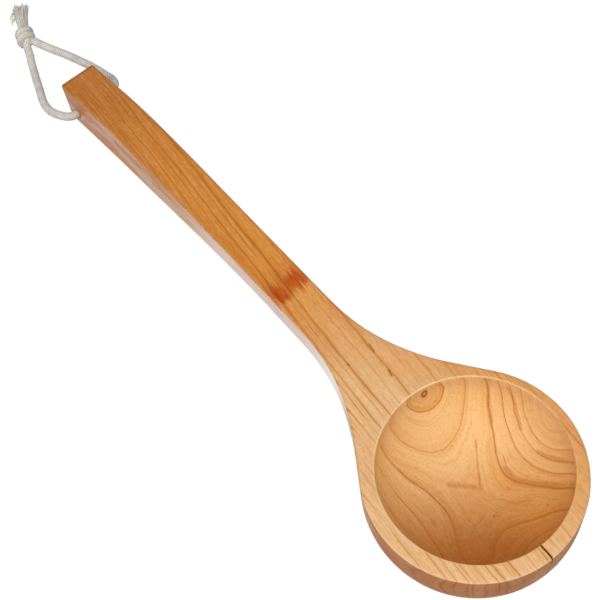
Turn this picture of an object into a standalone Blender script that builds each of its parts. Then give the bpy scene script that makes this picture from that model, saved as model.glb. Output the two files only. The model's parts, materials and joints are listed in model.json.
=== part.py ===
"""Wooden sauna ladle with a cord loop through the end of its handle.

The ladle is one piece of wood: a round bowl with a hollow, a neck and a handle that arches upwards. A cotton
cord goes through a cross hole near the handle's end. Its two ends are tied together and frayed.

The ladle lies as it does on a table, on the flat under its bowl and on the lower edge of the handle's end.
The origin is the middle of that flat, +X points towards the handle's end and +Z up. All sizes are in metres.

The wood is drawn in the ladle's own frame, which is tilted by the angle at which the ladle lies. There the
rim is the plane z = 0, the bowl's axis is the Z axis and +X runs along the handle.
"""

import math

import bmesh
import bpy
import numpy as np
from mathutils import Matrix, Vector

MM = 0.001

# Bowl
BOWL_RADIUS = 56.5 * MM
BOWL_DEPTH = 48.0 * MM
SIDE_DEPTH = 20.0 * MM
BASE_RADIUS = 25.0 * MM
HOLLOW_RADIUS = 49.2 * MM
FLOOR_THICKNESS = 8.0 * MM
HOLLOW_SIDE_DEPTH = 6.0 * MM
HOLLOW_FORWARD = 1.3 * MM
HOLLOW_SIDEWAYS = -1.8 * MM

# Neck: it leaves the bowl along a straight tangent, then curves into the handle
FLARE_ANGLE = math.radians(34.5)
NECK_RADIUS = 120.0 * MM
NECK_START = 90.0 * MM
BELLY_REACH = 85.0 * MM
BELLY_FULL_ANGLE = math.radians(45.0)
BELLY_NECK_ANGLE = math.radians(15.0)
BELLY_POWER_BOWL = 0.5
BELLY_POWER_NECK = 1.6

# Handle: heights of its top above the rim, and thicknesses, at its waist, its grip and its end
HANDLE_WIDTH = 23.8 * MM
HANDLE_REACH = 342.0 * MM
WAIST_REACH = 175.0 * MM
WAIST_RISE = 5.6 * MM
WAIST_THICKNESS = 18.6 * MM
GRIP_FROM_END = 61.0 * MM
GRIP_RISE = 13.1 * MM
GRIP_THICKNESS = 31.3 * MM
END_RISE = 7.2 * MM
END_THICKNESS = 30.6 * MM
END_CORNER = 1.5 * MM

# Rounded edges
TOP_ROUND = 1.5 * MM
UNDER_ROUND = 2.5 * MM
HOLLOW_ROUND = 0.8 * MM

# Cross hole for the cord
HOLE_DIAMETER = 6.4 * MM
HOLE_FROM_END = 10.5 * MM
HOLE_ABOVE_UNDERSIDE = 11.4 * MM

# Drying crack across the rim, at the side of the bowl that faces away from the handle
CRACK_ANGLE = math.radians(176.5)
CRACK_WIDTH = 1.0 * MM
CRACK_DEPTH = 7.0 * MM

# Cord
CORD_DIAMETER = 5.0 * MM
CORD_STEP = 4.5 * MM
KNOT_RADIUS = 6.4 * MM
KNOT_SPREAD = 2.6 * MM
KNOT_LENGTH = 13.2 * MM
KNOT_TURN = math.radians(-20.0)
WRAP_TILT = math.radians(16.0)
TAIL_RADIUS = 1.8 * MM
FRAY_RADIUS = 2.8 * MM

# Route of the cord from the middle of the hole to the knot, in millimetres from the hole's centre, and of
# its two tails beyond the knot
LEFT_LEG = (
    (0.0, 0.0, 0.0),
    (0.0, 6.0, 0.0),
    (0.0, 12.0, 0.0),
    (0.7, 15.4, -0.1),
    (3.6, 18.7, -0.4),
    (9.6, 21.4, -1.7),
    (16.3, 22.6, -3.4),
    (25.1, 21.3, -5.4),
    (36.5, 17.1, -7.8),
    (48.2, 12.6, -9.7),
    (57.7, 8.8, -10.0),
    (63.8, 5.9, -9.3),
    (69.2, 3.8, -7.7),
)
RIGHT_LEG = (
    (0.0, 0.0, 0.0),
    (0.0, -6.0, 0.0),
    (0.0, -12.0, 0.0),
    (0.5, -15.6, 0.0),
    (3.0, -18.9, -0.2),
    (7.6, -19.8, -0.7),
    (12.5, -19.0, -1.4),
    (18.0, -18.3, -2.5),
    (24.0, -17.6, -3.9),
    (31.0, -16.4, -5.7),
    (40.0, -14.5, -8.0),
    (49.2, -12.1, -9.8),
    (57.7, -8.5, -10.0),
    (64.4, -5.2, -9.0),
    (69.9, -2.4, -7.6),
)
KNOT_PLACE = (76.0, 0.3, -6.2)
LEFT_TAIL = ((83.1, -0.7, -6.8), (90.2, -3.9, -7.7), (97.8, -7.7, -9.0), (105.0, -11.9, -9.7))
RIGHT_TAIL = ((80.9, -5.6, -7.2), (86.8, -8.2, -8.0), (94.3, -12.5, -9.2), (100.6, -17.4, -9.7))

# Numbers of steps round the curves
BOWL_STEPS = 22
NECK_STEPS = 4
HANDLE_STEPS = 11
ROUND_STEPS = 3
UNDER_STEPS = 6
HOLLOW_STEPS = 8
WALL_STEPS = 2
HOLE_SIDES = 24
WRAP_SIDES = 20
CORD_SIDES = 10
CORE_SIDES = 16
CORE_RINGS = 10

# Colours
WOOD_COLOUR = (0.62, 0.33, 0.12, 1.0)
CORD_COLOUR = (0.58, 0.52, 0.44, 1.0)
MERGE_DISTANCE = 0.00001


def clear_scene():
    for item in list(bpy.data.objects):
        bpy.data.objects.remove(item, do_unlink=True)


def material(name, colour, roughness):
    made = bpy.data.materials.new(name)
    made.use_nodes = True
    shader = made.node_tree.nodes["Principled BSDF"]
    shader.inputs["Base Color"].default_value = colour
    shader.inputs["Roughness"].default_value = roughness
    shader.inputs["Metallic"].default_value = 0.0
    return made


def add_object(name, data, parent, finish=None):
    made = bpy.data.objects.new(name, data)
    bpy.context.scene.collection.objects.link(made)
    made.parent = parent
    if finish is not None:
        data.materials.append(finish)
    return made


def shade(mesh, angle=35.0):
    mesh.shade_smooth()
    mesh.set_sharp_from_angle(angle=math.radians(angle))


def smooth_step(value):
    share = min(max(value, 0.0), 1.0)
    return share * share * (3.0 - 2.0 * share)


def through(stations, x):
    """Height at x of the smooth curve through stations, pairs of a distance and a height."""
    places = [place for place, _ in stations]
    heights = [height for _, height in stations]
    last = len(stations) - 1
    slopes = []
    for i in range(last + 1):
        before, after = max(i - 1, 0), min(i + 1, last)
        slopes.append((heights[after] - heights[before]) / (places[after] - places[before]))
    slopes[0] = 0.0
    x = min(max(x, places[0]), places[last])
    i = min(sum(place <= x for place in places[1:]), last - 1)
    run = places[i + 1] - places[i]
    t = (x - places[i]) / run
    return (
        heights[i] * (2 * t**3 - 3 * t**2 + 1)
        + heights[i + 1] * (3 * t**2 - 2 * t**3)
        + slopes[i] * run * (t**3 - 2 * t**2 + t)
        + slopes[i + 1] * run * (t**3 - t**2)
    )


def top_height(x):
    """Height of the top face above the rim."""
    stations = (
        (NECK_START, 0.0),
        (WAIST_REACH, WAIST_RISE),
        (HANDLE_REACH - GRIP_FROM_END, GRIP_RISE),
        (HANDLE_REACH, END_RISE),
    )
    return through(stations, x)


def slab_depth(x):
    """Depth below the rim of the underside of the rim's side, the neck and the handle."""
    stations = (
        (NECK_START, SIDE_DEPTH),
        (WAIST_REACH, WAIST_THICKNESS - WAIST_RISE),
        (HANDLE_REACH - GRIP_FROM_END, GRIP_THICKNESS - GRIP_RISE),
        (HANDLE_REACH, END_THICKNESS - END_RISE),
    )
    return through(stations, x)


def rest_tilt():
    """Angle between the rim and a table under the bowl's flat and the handle's rounded end."""
    across = HANDLE_REACH - UNDER_ROUND
    up = BOWL_DEPTH - (END_THICKNESS - END_RISE) + UNDER_ROUND
    return math.atan2(up, across) - math.asin(UNDER_ROUND / math.hypot(across, up))


def base_depth(x):
    """Depth below the rim of the flat that the bowl lies on."""
    return BOWL_DEPTH - x * math.tan(rest_tilt())


def under_depth(x, y):
    """Depth below the rim of the whole underside: the bowl's belly, which dies away along the neck."""
    reach, angle = math.hypot(x, y), abs(math.atan2(y, x))
    blend = smooth_step((BELLY_FULL_ANGLE - angle) / (BELLY_FULL_ANGLE - BELLY_NECK_ANGLE))
    edge = BOWL_RADIUS + (BELLY_REACH - BOWL_RADIUS) * blend
    power = BELLY_POWER_BOWL + (BELLY_POWER_NECK - BELLY_POWER_BOWL) * blend
    share = min(max((reach - BASE_RADIUS) / (edge - BASE_RADIUS), 0.0), 1.0)
    slab = slab_depth(x)
    return slab + (base_depth(x) - slab) * (1.0 - share**2) ** power


def neck_end():
    """Where the neck's curve meets the handle's straight side."""
    half = HANDLE_WIDTH / 2
    flare_start = BOWL_RADIUS * math.sin(FLARE_ANGLE)
    drop = BOWL_RADIUS * math.cos(FLARE_ANGLE) - half
    return flare_start + drop / math.tan(FLARE_ANGLE) + NECK_RADIUS * math.tan(FLARE_ANGLE / 2)


def neck_side(x):
    """Half width of the neck: the straight tangent, then the curve."""
    end = neck_end()
    curve_start = end - NECK_RADIUS * math.sin(FLARE_ANGLE)
    if x >= curve_start:
        rise = NECK_RADIUS - math.sqrt(max(NECK_RADIUS**2 - (end - x) ** 2, 0.0))
        return HANDLE_WIDTH / 2 + rise
    start = BOWL_RADIUS * math.sin(FLARE_ANGLE)
    return BOWL_RADIUS * math.cos(FLARE_ANGLE) - (x - start) * math.tan(FLARE_ANGLE)


def arc_share(centre_x, radius):
    """Share of the way from the flare to the neck's end at which a foot leaves its circle for the middle."""
    arc = radius * (math.pi / 2 - FLARE_ANGLE)
    return arc / (arc + neck_end() - centre_x - radius)


def foot(centre, radius, share, side):
    """Point that far along a circle's arc towards the handle, and then along the handle's middle."""
    opening = math.pi / 2 - FLARE_ANGLE
    run = neck_end() - centre[0] - radius
    way = share * (radius * opening + run)
    if share <= arc_share(centre[0], radius):
        angle = opening - way / radius
        return centre[0] + radius * math.cos(angle), centre[1] + side * radius * math.sin(angle)
    past = way - radius * opening
    return centre[0] + radius + past, centre[1] * (1.0 - past / run)


def ribs(side):
    """Lines across the ladle on one side: each has a point on its outline, and its foot on the underside and
    on the top, from the bowl's far side to the handle's end."""
    hollow = (HOLLOW_FORWARD, HOLLOW_SIDEWAYS)
    hollow_edge = HOLLOW_RADIUS + HOLLOW_ROUND
    found = []
    opening = math.pi / 2 - FLARE_ANGLE
    for angle in np.linspace(math.pi, opening, BOWL_STEPS + 1)[:-1]:
        turn = np.array((math.cos(angle), side * math.sin(angle)))
        found.append((BOWL_RADIUS * turn, BASE_RADIUS * turn, np.array(hollow) + hollow_edge * turn, True))
    stops = (0.0, arc_share(0.0, BASE_RADIUS), arc_share(HOLLOW_FORWARD, hollow_edge), 1.0)
    shares = [0.0]
    for start, stop in zip(stops, stops[1:]):
        shares += list(np.linspace(start, stop, NECK_STEPS + 1)[1:])
    first = BOWL_RADIUS * math.sin(FLARE_ANGLE)
    for share in shares:
        x = first + (neck_end() - first) * share
        under = np.array(foot((0.0, 0.0), BASE_RADIUS, share, side))
        top = np.array(foot(hollow, hollow_edge, share, side))
        found.append((np.array((x, side * neck_side(x))), under, top, share <= stops[2] + 1e-9))
    half = HANDLE_WIDTH / 2
    last = HANDLE_REACH - END_CORNER
    for x in np.linspace(neck_end(), last, HANDLE_STEPS + 1)[1:]:
        middle = np.array((min(x, HANDLE_REACH - half), 0.0))
        found.append((np.array((x, side * half)), middle, middle, False))
    middle = np.array((HANDLE_REACH - half, 0.0))
    for turn in np.linspace(0.0, math.pi / 2, ROUND_STEPS + 1)[1:]:
        x = last + END_CORNER * math.sin(turn)
        y = half - END_CORNER * (1.0 - math.cos(turn))
        found.append((np.array((x, side * y)), middle, middle, False))
    found.append((np.array((HANDLE_REACH, 0.0)), middle, middle, False))
    return found


def rib_points(point, inward, under, top):
    """Points of one rib, from its foot on the underside, down and round the side, to its foot on the top."""
    points = []
    span = under - point
    reach = float(np.hypot(*span))
    slant = max(float(span @ inward) / reach, 0.2)
    corner = min(UNDER_ROUND / slant, reach)
    for share in np.linspace(1.0, 0.0, UNDER_STEPS + 1)[:-1] ** 1.25:
        x, y = point + span / reach * (corner + (reach - corner) * share)
        points.append((x, y, -under_depth(x, y)))
    for turn in np.linspace(math.pi / 2, 0.0, ROUND_STEPS + 1):
        x, y = point + span / reach * corner * (1.0 - math.cos(turn))
        points.append((x, y, UNDER_ROUND * (1.0 - math.sin(turn)) - under_depth(x, y)))
    bottom = points[-1][2]
    crown = top_height(point[0]) - TOP_ROUND
    for share in np.linspace(0.0, 1.0, WALL_STEPS + 1)[1:]:
        points.append((point[0], point[1], bottom + (crown - bottom) * share))
    span = top - point
    reach = float(np.hypot(*span))
    slant = max(float(span @ inward) / reach, 0.2)
    corner = min(TOP_ROUND / slant, reach)
    for turn in np.linspace(0.0, math.pi / 2, ROUND_STEPS + 1)[1:]:
        x, y = point + span / reach * corner * (1.0 - math.cos(turn))
        points.append((x, y, top_height(x) - TOP_ROUND * (1.0 - math.sin(turn))))
    points.append((top[0], top[1], top_height(top[0])))
    return points


def hollow_points(edge):
    """Points of one rib down the hollow, from its edge to the middle of its floor."""
    centre = np.array((HOLLOW_FORWARD, HOLLOW_SIDEWAYS))
    turn = (edge - centre) / np.hypot(*(edge - centre))
    points = []
    for step in np.linspace(0.0, math.pi / 2, ROUND_STEPS + 1)[1:]:
        x, y = centre + turn * (HOLLOW_RADIUS + HOLLOW_ROUND * (1.0 - math.sin(step)))
        points.append((x, y, -HOLLOW_ROUND * (1.0 - math.cos(step))))
    depth = BOWL_DEPTH - FLOOR_THICKNESS
    for angle in np.linspace(0.0, math.pi / 2, HOLLOW_STEPS + 1):
        x, y = centre + turn * HOLLOW_RADIUS * math.cos(angle)
        points.append((x, y, -HOLLOW_SIDE_DEPTH - (depth - HOLLOW_SIDE_DEPTH) * math.sin(angle)))
    return points


def add_strip(mesh, first, second):
    """Quads between two rows of vertices."""
    for a, b, c, d in zip(first, first[1:], second[1:], second):
        mesh.faces.new((a, b, c, d))


def wood_mesh():
    """The wood as one closed skin, without its hole and crack."""
    left, right = ribs(1), ribs(-1)
    around = left + right[-2:0:-1]
    outline = np.array([point for point, _, _, _ in around])
    along = np.roll(outline, -1, 0) - np.roll(outline, 1, 0)
    inward = np.stack((along[:, 1], -along[:, 0]), 1) / np.hypot(along[:, 0], along[:, 1])[:, None]
    mesh = bmesh.new()
    rows, hollows = [], []
    for (point, under, top, on_hollow), normal in zip(around, inward):
        rows.append([mesh.verts.new(spot) for spot in rib_points(point, normal, under, top)])
        more = [mesh.verts.new(spot) for spot in hollow_points(top)] if on_hollow else []
        hollows.append([rows[-1][-1]] + more)
    base = []
    for i, row in enumerate(rows):
        after = (i + 1) % len(rows)
        add_strip(mesh, row, rows[after])
        if len(hollows[i]) > 1 and len(hollows[after]) > 1:
            add_strip(mesh, hollows[i], hollows[after])
        if math.hypot(row[0].co.x, row[0].co.y) < BASE_RADIUS + MERGE_DISTANCE:
            base.append(row[0])
    mesh.faces.new(base)
    bmesh.ops.remove_doubles(mesh, verts=mesh.verts, dist=MERGE_DISTANCE)
    bmesh.ops.recalc_face_normals(mesh, faces=mesh.faces)
    made = bpy.data.meshes.new("ladle_body")
    mesh.to_mesh(made)
    mesh.free()
    return made


def hole_place():
    """Centre of the cross hole in the ladle's frame."""
    x = HANDLE_REACH - HOLE_FROM_END
    return Vector((x, 0.0, HOLE_ABOVE_UNDERSIDE - slab_depth(x)))


def hole_cutter(parent):
    mesh = bmesh.new()
    turn = Matrix.Rotation(math.pi / 2, 4, "X")
    bmesh.ops.create_cone(
        mesh,
        cap_ends=True,
        segments=HOLE_SIDES,
        radius1=HOLE_DIAMETER / 2,
        radius2=HOLE_DIAMETER / 2,
        depth=HANDLE_WIDTH * 1.5,
        matrix=Matrix.Translation(hole_place()) @ turn,
    )
    return cutter("hole_cutter", mesh, parent)


def crack_cutter(parent):
    """A wedge across the rim, widest at the top."""
    mesh = bmesh.new()
    rim = BOWL_RADIUS - HOLLOW_RADIUS
    near, far = -2.0 * rim, 2.0 * rim
    half = CRACK_WIDTH / 2
    profile = ((-half, TOP_ROUND), (half, TOP_ROUND), (half, 0.0), (0.0, -CRACK_DEPTH), (-half, 0.0))
    ends = [[mesh.verts.new((x, y, z)) for y, z in profile] for x in (near, far)]
    for i in range(len(profile)):
        after = (i + 1) % len(profile)
        mesh.faces.new((ends[0][i], ends[1][i], ends[1][after], ends[0][after]))
    mesh.faces.new(ends[0])
    mesh.faces.new(ends[1])
    bmesh.ops.recalc_face_normals(mesh, faces=mesh.faces)
    middle = (BOWL_RADIUS + HOLLOW_RADIUS) / 2
    place = Vector((middle * math.cos(CRACK_ANGLE), middle * math.sin(CRACK_ANGLE), 0.0))
    bmesh.ops.transform(
        mesh, matrix=Matrix.Translation(place) @ Matrix.Rotation(CRACK_ANGLE, 4, "Z"), verts=mesh.verts
    )
    return cutter("crack_cutter", mesh, parent)


def cutter(name, mesh, parent):
    data = bpy.data.meshes.new(name)
    mesh.to_mesh(data)
    mesh.free()
    made = add_object(name, data, parent)
    made.hide_render = True
    made.display_type = "WIRE"
    return made


def combine(target, other, operation):
    change = target.modifiers.new(other.name, "BOOLEAN")
    change.operation = operation
    change.solver = "EXACT"
    change.object = other


def build_wood(parent):
    wood = material("lacquered_wood", WOOD_COLOUR, 0.3)
    mesh = wood_mesh()
    shade(mesh)
    body = add_object("ladle_body", mesh, parent, wood)
    combine(body, hole_cutter(parent), "DIFFERENCE")
    combine(body, crack_cutter(parent), "DIFFERENCE")


def smooth_route(points, step):
    """Points about one step apart on a smooth curve through the given ones."""
    given = [Vector(point) for point in points]
    ends = [given[0] * 2 - given[1]] + given + [given[-1] * 2 - given[-2]]
    fine = []
    for a, b, c, d in zip(ends, ends[1:], ends[2:], ends[3:]):
        for t in np.linspace(0.0, 1.0, 17)[:-1]:
            fine.append(
                0.5 * (2 * b + (c - a) * t + (2 * a - 5 * b + 4 * c - d) * t**2 + (3 * b - a - 3 * c + d) * t**3)
            )
    fine.append(given[-1])
    lengths = [0.0]
    for a, b in zip(fine, fine[1:]):
        lengths.append(lengths[-1] + (b - a).length)
    count = max(round(lengths[-1] / step), 2)
    wanted = np.linspace(0.0, lengths[-1], count + 1)
    axes = [np.interp(wanted, lengths, [spot[axis] for spot in fine]) for axis in range(3)]
    return [Vector(spot) for spot in zip(*axes)]


def tube(name, points, radii, parent, finish):
    """A tube with filled ends along points, with a radius at each of them."""
    curve = bpy.data.curves.new(name, "CURVE")
    curve.dimensions = "3D"
    curve.bevel_depth = 1.0
    curve.bevel_resolution = 3
    curve.use_fill_caps = True
    spline = curve.splines.new("POLY")
    spline.points.add(len(points) - 1)
    for spot, point, radius in zip(spline.points, points, radii):
        spot.co = (*point, 1.0)
        spot.radius = radius
    return add_object(name, curve, parent, finish)


def knot_wrap(name, shift, tilt, place):
    """One turn of cord round the knot, as a ring."""
    mesh = bmesh.new()
    small = CORD_DIAMETER / 2
    large = KNOT_RADIUS - small
    for turn in np.linspace(0.0, 2 * math.pi, WRAP_SIDES, endpoint=False):
        for around in np.linspace(0.0, 2 * math.pi, CORD_SIDES, endpoint=False):
            reach = large + small * math.cos(around)
            mesh.verts.new((small * math.sin(around), reach * math.cos(turn), reach * math.sin(turn)))
    mesh.verts.ensure_lookup_table()
    for i in range(WRAP_SIDES):
        for j in range(CORD_SIDES):
            a, b = i * CORD_SIDES, (i + 1) % WRAP_SIDES * CORD_SIDES
            k = (j + 1) % CORD_SIDES
            mesh.faces.new([mesh.verts[n] for n in (a + j, b + j, b + k, a + k)])
    bmesh.ops.recalc_face_normals(mesh, faces=mesh.faces)
    turned = (
        Matrix.Translation(place)
        @ Matrix.Rotation(KNOT_TURN, 4, "Z")
        @ Matrix.Translation((shift, 0.0, 0.0))
        @ Matrix.Rotation(tilt, 4, "Z")
    )
    bmesh.ops.transform(mesh, matrix=turned, verts=mesh.verts)
    data = bpy.data.meshes.new(name)
    mesh.to_mesh(data)
    mesh.free()
    return data


def build_knot(parent, cotton):
    place = Vector(KNOT_PLACE) * MM
    first = knot_wrap("cord_knot", -KNOT_SPREAD, WRAP_TILT, place)
    shade(first)
    knot = add_object("cord_knot", first, parent, cotton)
    second = add_object("wrap_cutter", knot_wrap("wrap_cutter", KNOT_SPREAD, WRAP_TILT, place), parent)
    core_mesh = bmesh.new()
    bmesh.ops.create_uvsphere(core_mesh, u_segments=CORE_SIDES, v_segments=CORE_RINGS, radius=1.0)
    reach = KNOT_RADIUS - CORD_DIAMETER * 0.35
    shape = Matrix.Diagonal((KNOT_LENGTH / 2, reach, reach, 1.0))
    turned = Matrix.Translation(place) @ Matrix.Rotation(KNOT_TURN, 4, "Z") @ shape
    bmesh.ops.transform(core_mesh, matrix=turned, verts=core_mesh.verts)
    core = cutter("core_cutter", core_mesh, parent)
    second.hide_render = True
    second.display_type = "WIRE"
    combine(knot, second, "UNION")
    combine(knot, core, "UNION")


def build_cord(parent):
    cotton = material("cotton_cord", CORD_COLOUR, 0.9)
    route = [Vector(point) * MM for point in LEFT_LEG[:0:-1] + RIGHT_LEG]
    points = smooth_route(route, CORD_STEP)
    tube("hanging_cord", points, [CORD_DIAMETER / 2] * len(points), parent, cotton)
    build_knot(parent, cotton)
    for name, tail in (("cord_tail_left", LEFT_TAIL), ("cord_tail_right", RIGHT_TAIL)):
        points = smooth_route([Vector(point) * MM for point in tail], CORD_STEP * 0.7)
        radii = np.linspace(TAIL_RADIUS, FRAY_RADIUS, len(points))
        tube(name, points, radii, parent, cotton)


def main():
    clear_scene()
    tilt = rest_tilt()
    ladle = add_object("ladle_frame", None, None)
    ladle.location = (BOWL_DEPTH * math.sin(tilt), 0.0, BOWL_DEPTH * math.cos(tilt))
    ladle.rotation_euler = (0.0, tilt, 0.0)
    pivot = add_object("cord_pivot", None, None)
    pivot.location = Matrix.Rotation(tilt, 3, "Y") @ hole_place() + ladle.location
    build_wood(ladle)
    build_cord(pivot)
    print("ladle tilt in degrees", round(math.degrees(tilt), 3))
    print("cord hole at", [round(value, 5) for value in pivot.location])


main()
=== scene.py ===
"""Looks of the wooden sauna ladle: its lacquered wood, its braided cotton cord, the studio and the camera."""

import json
import math

import bmesh
import bpy
import numpy as np
from mathutils import Matrix, Vector

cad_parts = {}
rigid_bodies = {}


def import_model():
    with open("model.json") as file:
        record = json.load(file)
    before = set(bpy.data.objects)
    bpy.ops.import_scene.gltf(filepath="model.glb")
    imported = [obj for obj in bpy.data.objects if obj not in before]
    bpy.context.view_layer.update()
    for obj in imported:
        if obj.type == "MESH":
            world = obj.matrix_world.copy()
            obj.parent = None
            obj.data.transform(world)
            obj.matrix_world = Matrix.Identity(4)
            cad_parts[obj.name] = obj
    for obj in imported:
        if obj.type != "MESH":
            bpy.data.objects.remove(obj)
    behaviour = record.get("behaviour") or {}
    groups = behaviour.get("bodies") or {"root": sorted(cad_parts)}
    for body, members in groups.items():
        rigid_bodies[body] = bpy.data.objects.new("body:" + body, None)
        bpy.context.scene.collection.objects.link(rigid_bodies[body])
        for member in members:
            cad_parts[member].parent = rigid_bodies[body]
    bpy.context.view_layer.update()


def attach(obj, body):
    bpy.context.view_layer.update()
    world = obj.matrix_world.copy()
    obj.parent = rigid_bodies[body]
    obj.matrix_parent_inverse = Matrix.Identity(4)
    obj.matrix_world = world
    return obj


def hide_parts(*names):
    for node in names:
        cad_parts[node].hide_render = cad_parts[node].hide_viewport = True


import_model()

MM = 0.001

# Camera
CAMERA_PLACE = (-0.0973, 0.17152, 0.61549)
CAMERA_RIGHT = (-0.64905, -0.75989, -0.03597)
CAMERA_DOWN = (-0.66998, 0.59338, -0.44613)
CAMERA_FORWARD = (0.36036, -0.26546, -0.89424)
CAMERA_LENS = 72.0
CAMERA_SENSOR = 36.0

# Cord
CORD_DIAMETER = 5.0 * MM
HINGE_PLACE = (333.31 * MM, 0.0, 12.95 * MM)
LEFT_LEG = (
    (0.0, 0.0, 0.0), (0.0, 6.0, 0.0), (0.0, 12.0, 0.0), (0.7, 15.4, -0.1), (3.6, 18.7, -0.4),
    (9.6, 21.4, -1.7), (16.3, 22.6, -3.4), (25.1, 21.3, -5.4), (36.5, 17.1, -7.8), (48.2, 12.6, -9.7),
    (57.7, 8.8, -10.0), (63.8, 5.9, -9.3), (69.2, 3.8, -7.7), (72.6, 2.0, -6.7),
)
RIGHT_LEG = (
    (0.0, 0.0, 0.0), (0.0, -6.0, 0.0), (0.0, -12.0, 0.0), (0.5, -15.6, 0.0), (3.0, -18.9, -0.2),
    (7.6, -19.8, -0.7), (12.5, -19.0, -1.4), (18.0, -18.3, -2.5), (24.0, -17.6, -3.9),
    (31.0, -16.4, -5.7), (40.0, -14.5, -8.0), (49.2, -12.1, -9.8), (57.7, -8.5, -10.0),
    (64.4, -5.2, -9.0), (69.9, -2.4, -7.6), (72.8, -0.9, -6.8),
)
KNOT_PLACE = (76.0, 0.3, -6.2)
KNOT_TURN = math.radians(-20.0)
LEFT_TAIL = ((80.5, -1.0, -6.4), (89.6, -4.4, -7.2), (97.4, -8.0, -8.2), (104.4, -11.8, -8.7))
RIGHT_TAIL = ((79.5, -3.2, -6.8), (87.6, -7.2, -7.4), (94.8, -11.4, -8.3), (101.0, -15.9, -8.7))

# Knot's turns: shift along it, tilt in degrees and reach in millimetres, and radius as a share of the cord's
KNOT_WRAPS = ((-2.3, 18.0, 3.9, 0.98), (2.4, 14.0, 3.7, 0.98), (0.0, -38.0, 3.0, 0.95))
KNOT_STEPS = 90
KNOT_SWAY = 0.35 * MM

# Packed cord inside the knot: half length, radius, half length at which it would close, least share of radius
CORE_HALF = 6.4
CORE_RADIUS = 4.4 * MM
CORE_CLOSES = 6.9 * MM
CORE_LEAST = 0.02
CORE_STEPS = 44

# Steps between two points of a route, and a direction that no route here takes
ROUTE_STEPS = 16
ASLANT = (0.31, 0.17, 0.93)

# Frayed tails: yarns and loose fibres, how far they reach, their radii in millimetres, twist, plies and sides
YARNS, FIBRES = 11, 46
TAIL_STEP = 0.6 * MM
YARN_REACH, FIBRE_REACH = (0.86, 1.0), (0.8, 1.0)
YARN_RADII, FIBRE_RADII = (0.6, 0.78), (0.1, 0.17)
YARN_FORM = (1.6 * MM, 3, 10)
FIBRE_FORM = (3.0 * MM, 1, 4)
YARN_BODY, YARN_LUMP = 0.72, 0.28

# A yarn's taper: where it would end, the share of its length that it takes, and its least share of the radius
TAPER_END, TAPER_SHARE, TAPER_LEAST = 1.02, 0.25, 0.12

# How a tail spreads in millimetres from its start, with what power, how flat it is, and how far it turns
SPREAD_START, SPREAD_MORE, SPREAD_POWER = 1.5, 2.0, 1.4
TAIL_FLATNESS = 0.8
TAIL_TURN = 0.5

# Ranges of the tails' random numbers: angle, how far out a fibre is, wave in millimetres, its turns and its
# phase, the steps by which a fibre starts late, and a hook's place beside and above in millimetres
ANGLE_RANGE, FIBRE_OUT = (-0.3, 0.3), (0.3, 1.1)
WAVE_RANGE, WAVE_TURNS, PHASE_RANGE = (0.1, 0.3), (5, 9), (0, 6)
LATE_STEPS = (0, 6)
HOOK_BESIDE, HOOK_ABOVE = (1.0, 1.6), (-0.4, 1.6)

# How the yarns are spread outwards, the fewest steps of one, and the seeds of the two tails
YARN_RINGS, YARN_INSET = 3, 0.6
LEAST_STEPS = 8
LEFT_SEED, RIGHT_SEED = 3, 8

# Yarns of the left tail that hook back: how far along they start, and the hook's radius in millimetres
HOOKS = ((0.30, 1.9), (0.40, 1.6), (0.52, 2.1), (0.62, 1.5))
HOOK_TURN = math.radians(205.0)
HOOK_STRETCH = 1.5
HOOK_STEPS = 22
HOOK_STEP = 0.4 * MM
HOOK_RADIUS = 0.62 * MM

# Braid: strands in each direction, relief and length of one strand's crossing
BRAID_STRANDS = 8
BRAID_PITCH = 2.1 * MM
BRAID_RELIEF = 0.42 * MM
BRAID_MIDDLE = 0.75
BRAID_HUMP, BRAID_OVER, BRAID_LIFT = 0.65, 0.35, 0.1
BRAID_SIDES = 64
BRAID_STEP = 0.3 * MM

# Ladle, in its own frame: the rim is the plane z = 0 and +X runs along the handle
BOWL_RADIUS = 56.5 * MM
BOWL_DEPTH = 48.0 * MM
SIDE_DEPTH = 20.0 * MM
BASE_RADIUS = 25.0 * MM
HOLLOW_RADIUS = 49.2 * MM
FLOOR_THICKNESS = 8.0 * MM
HOLLOW_SIDE_DEPTH = 6.0 * MM
HOLLOW_FORWARD = 1.3 * MM
HOLLOW_SIDEWAYS = -1.8 * MM
FLARE_ANGLE = math.radians(34.5)
NECK_RADIUS = 120.0 * MM
NECK_START = 90.0 * MM
BELLY_REACH = 85.0 * MM
BELLY_FULL_ANGLE = math.radians(45.0)
BELLY_NECK_ANGLE = math.radians(15.0)
BELLY_POWER_BOWL = 0.5
BELLY_POWER_NECK = 1.6
HANDLE_WIDTH = 23.8 * MM
HANDLE_REACH = 342.0 * MM
WAIST_REACH = 175.0 * MM
WAIST_RISE = 5.6 * MM
WAIST_THICKNESS = 18.6 * MM
GRIP_FROM_END = 61.0 * MM
GRIP_RISE = 13.1 * MM
GRIP_THICKNESS = 31.3 * MM
END_RISE = 7.2 * MM
END_THICKNESS = 30.6 * MM
END_CORNER = 1.5 * MM
TOP_ROUND = 1.5 * MM
UNDER_ROUND = 2.5 * MM
HOLLOW_ROUND = 0.8 * MM
HOLE_DIAMETER = 6.4 * MM
HOLE_FROM_END = 10.5 * MM
HOLE_ABOVE_UNDERSIDE = 11.4 * MM
CRACK_ANGLE = math.radians(176.5)
CRACK_WIDTH = 1.0 * MM
CRACK_DEPTH = 7.0 * MM

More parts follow.
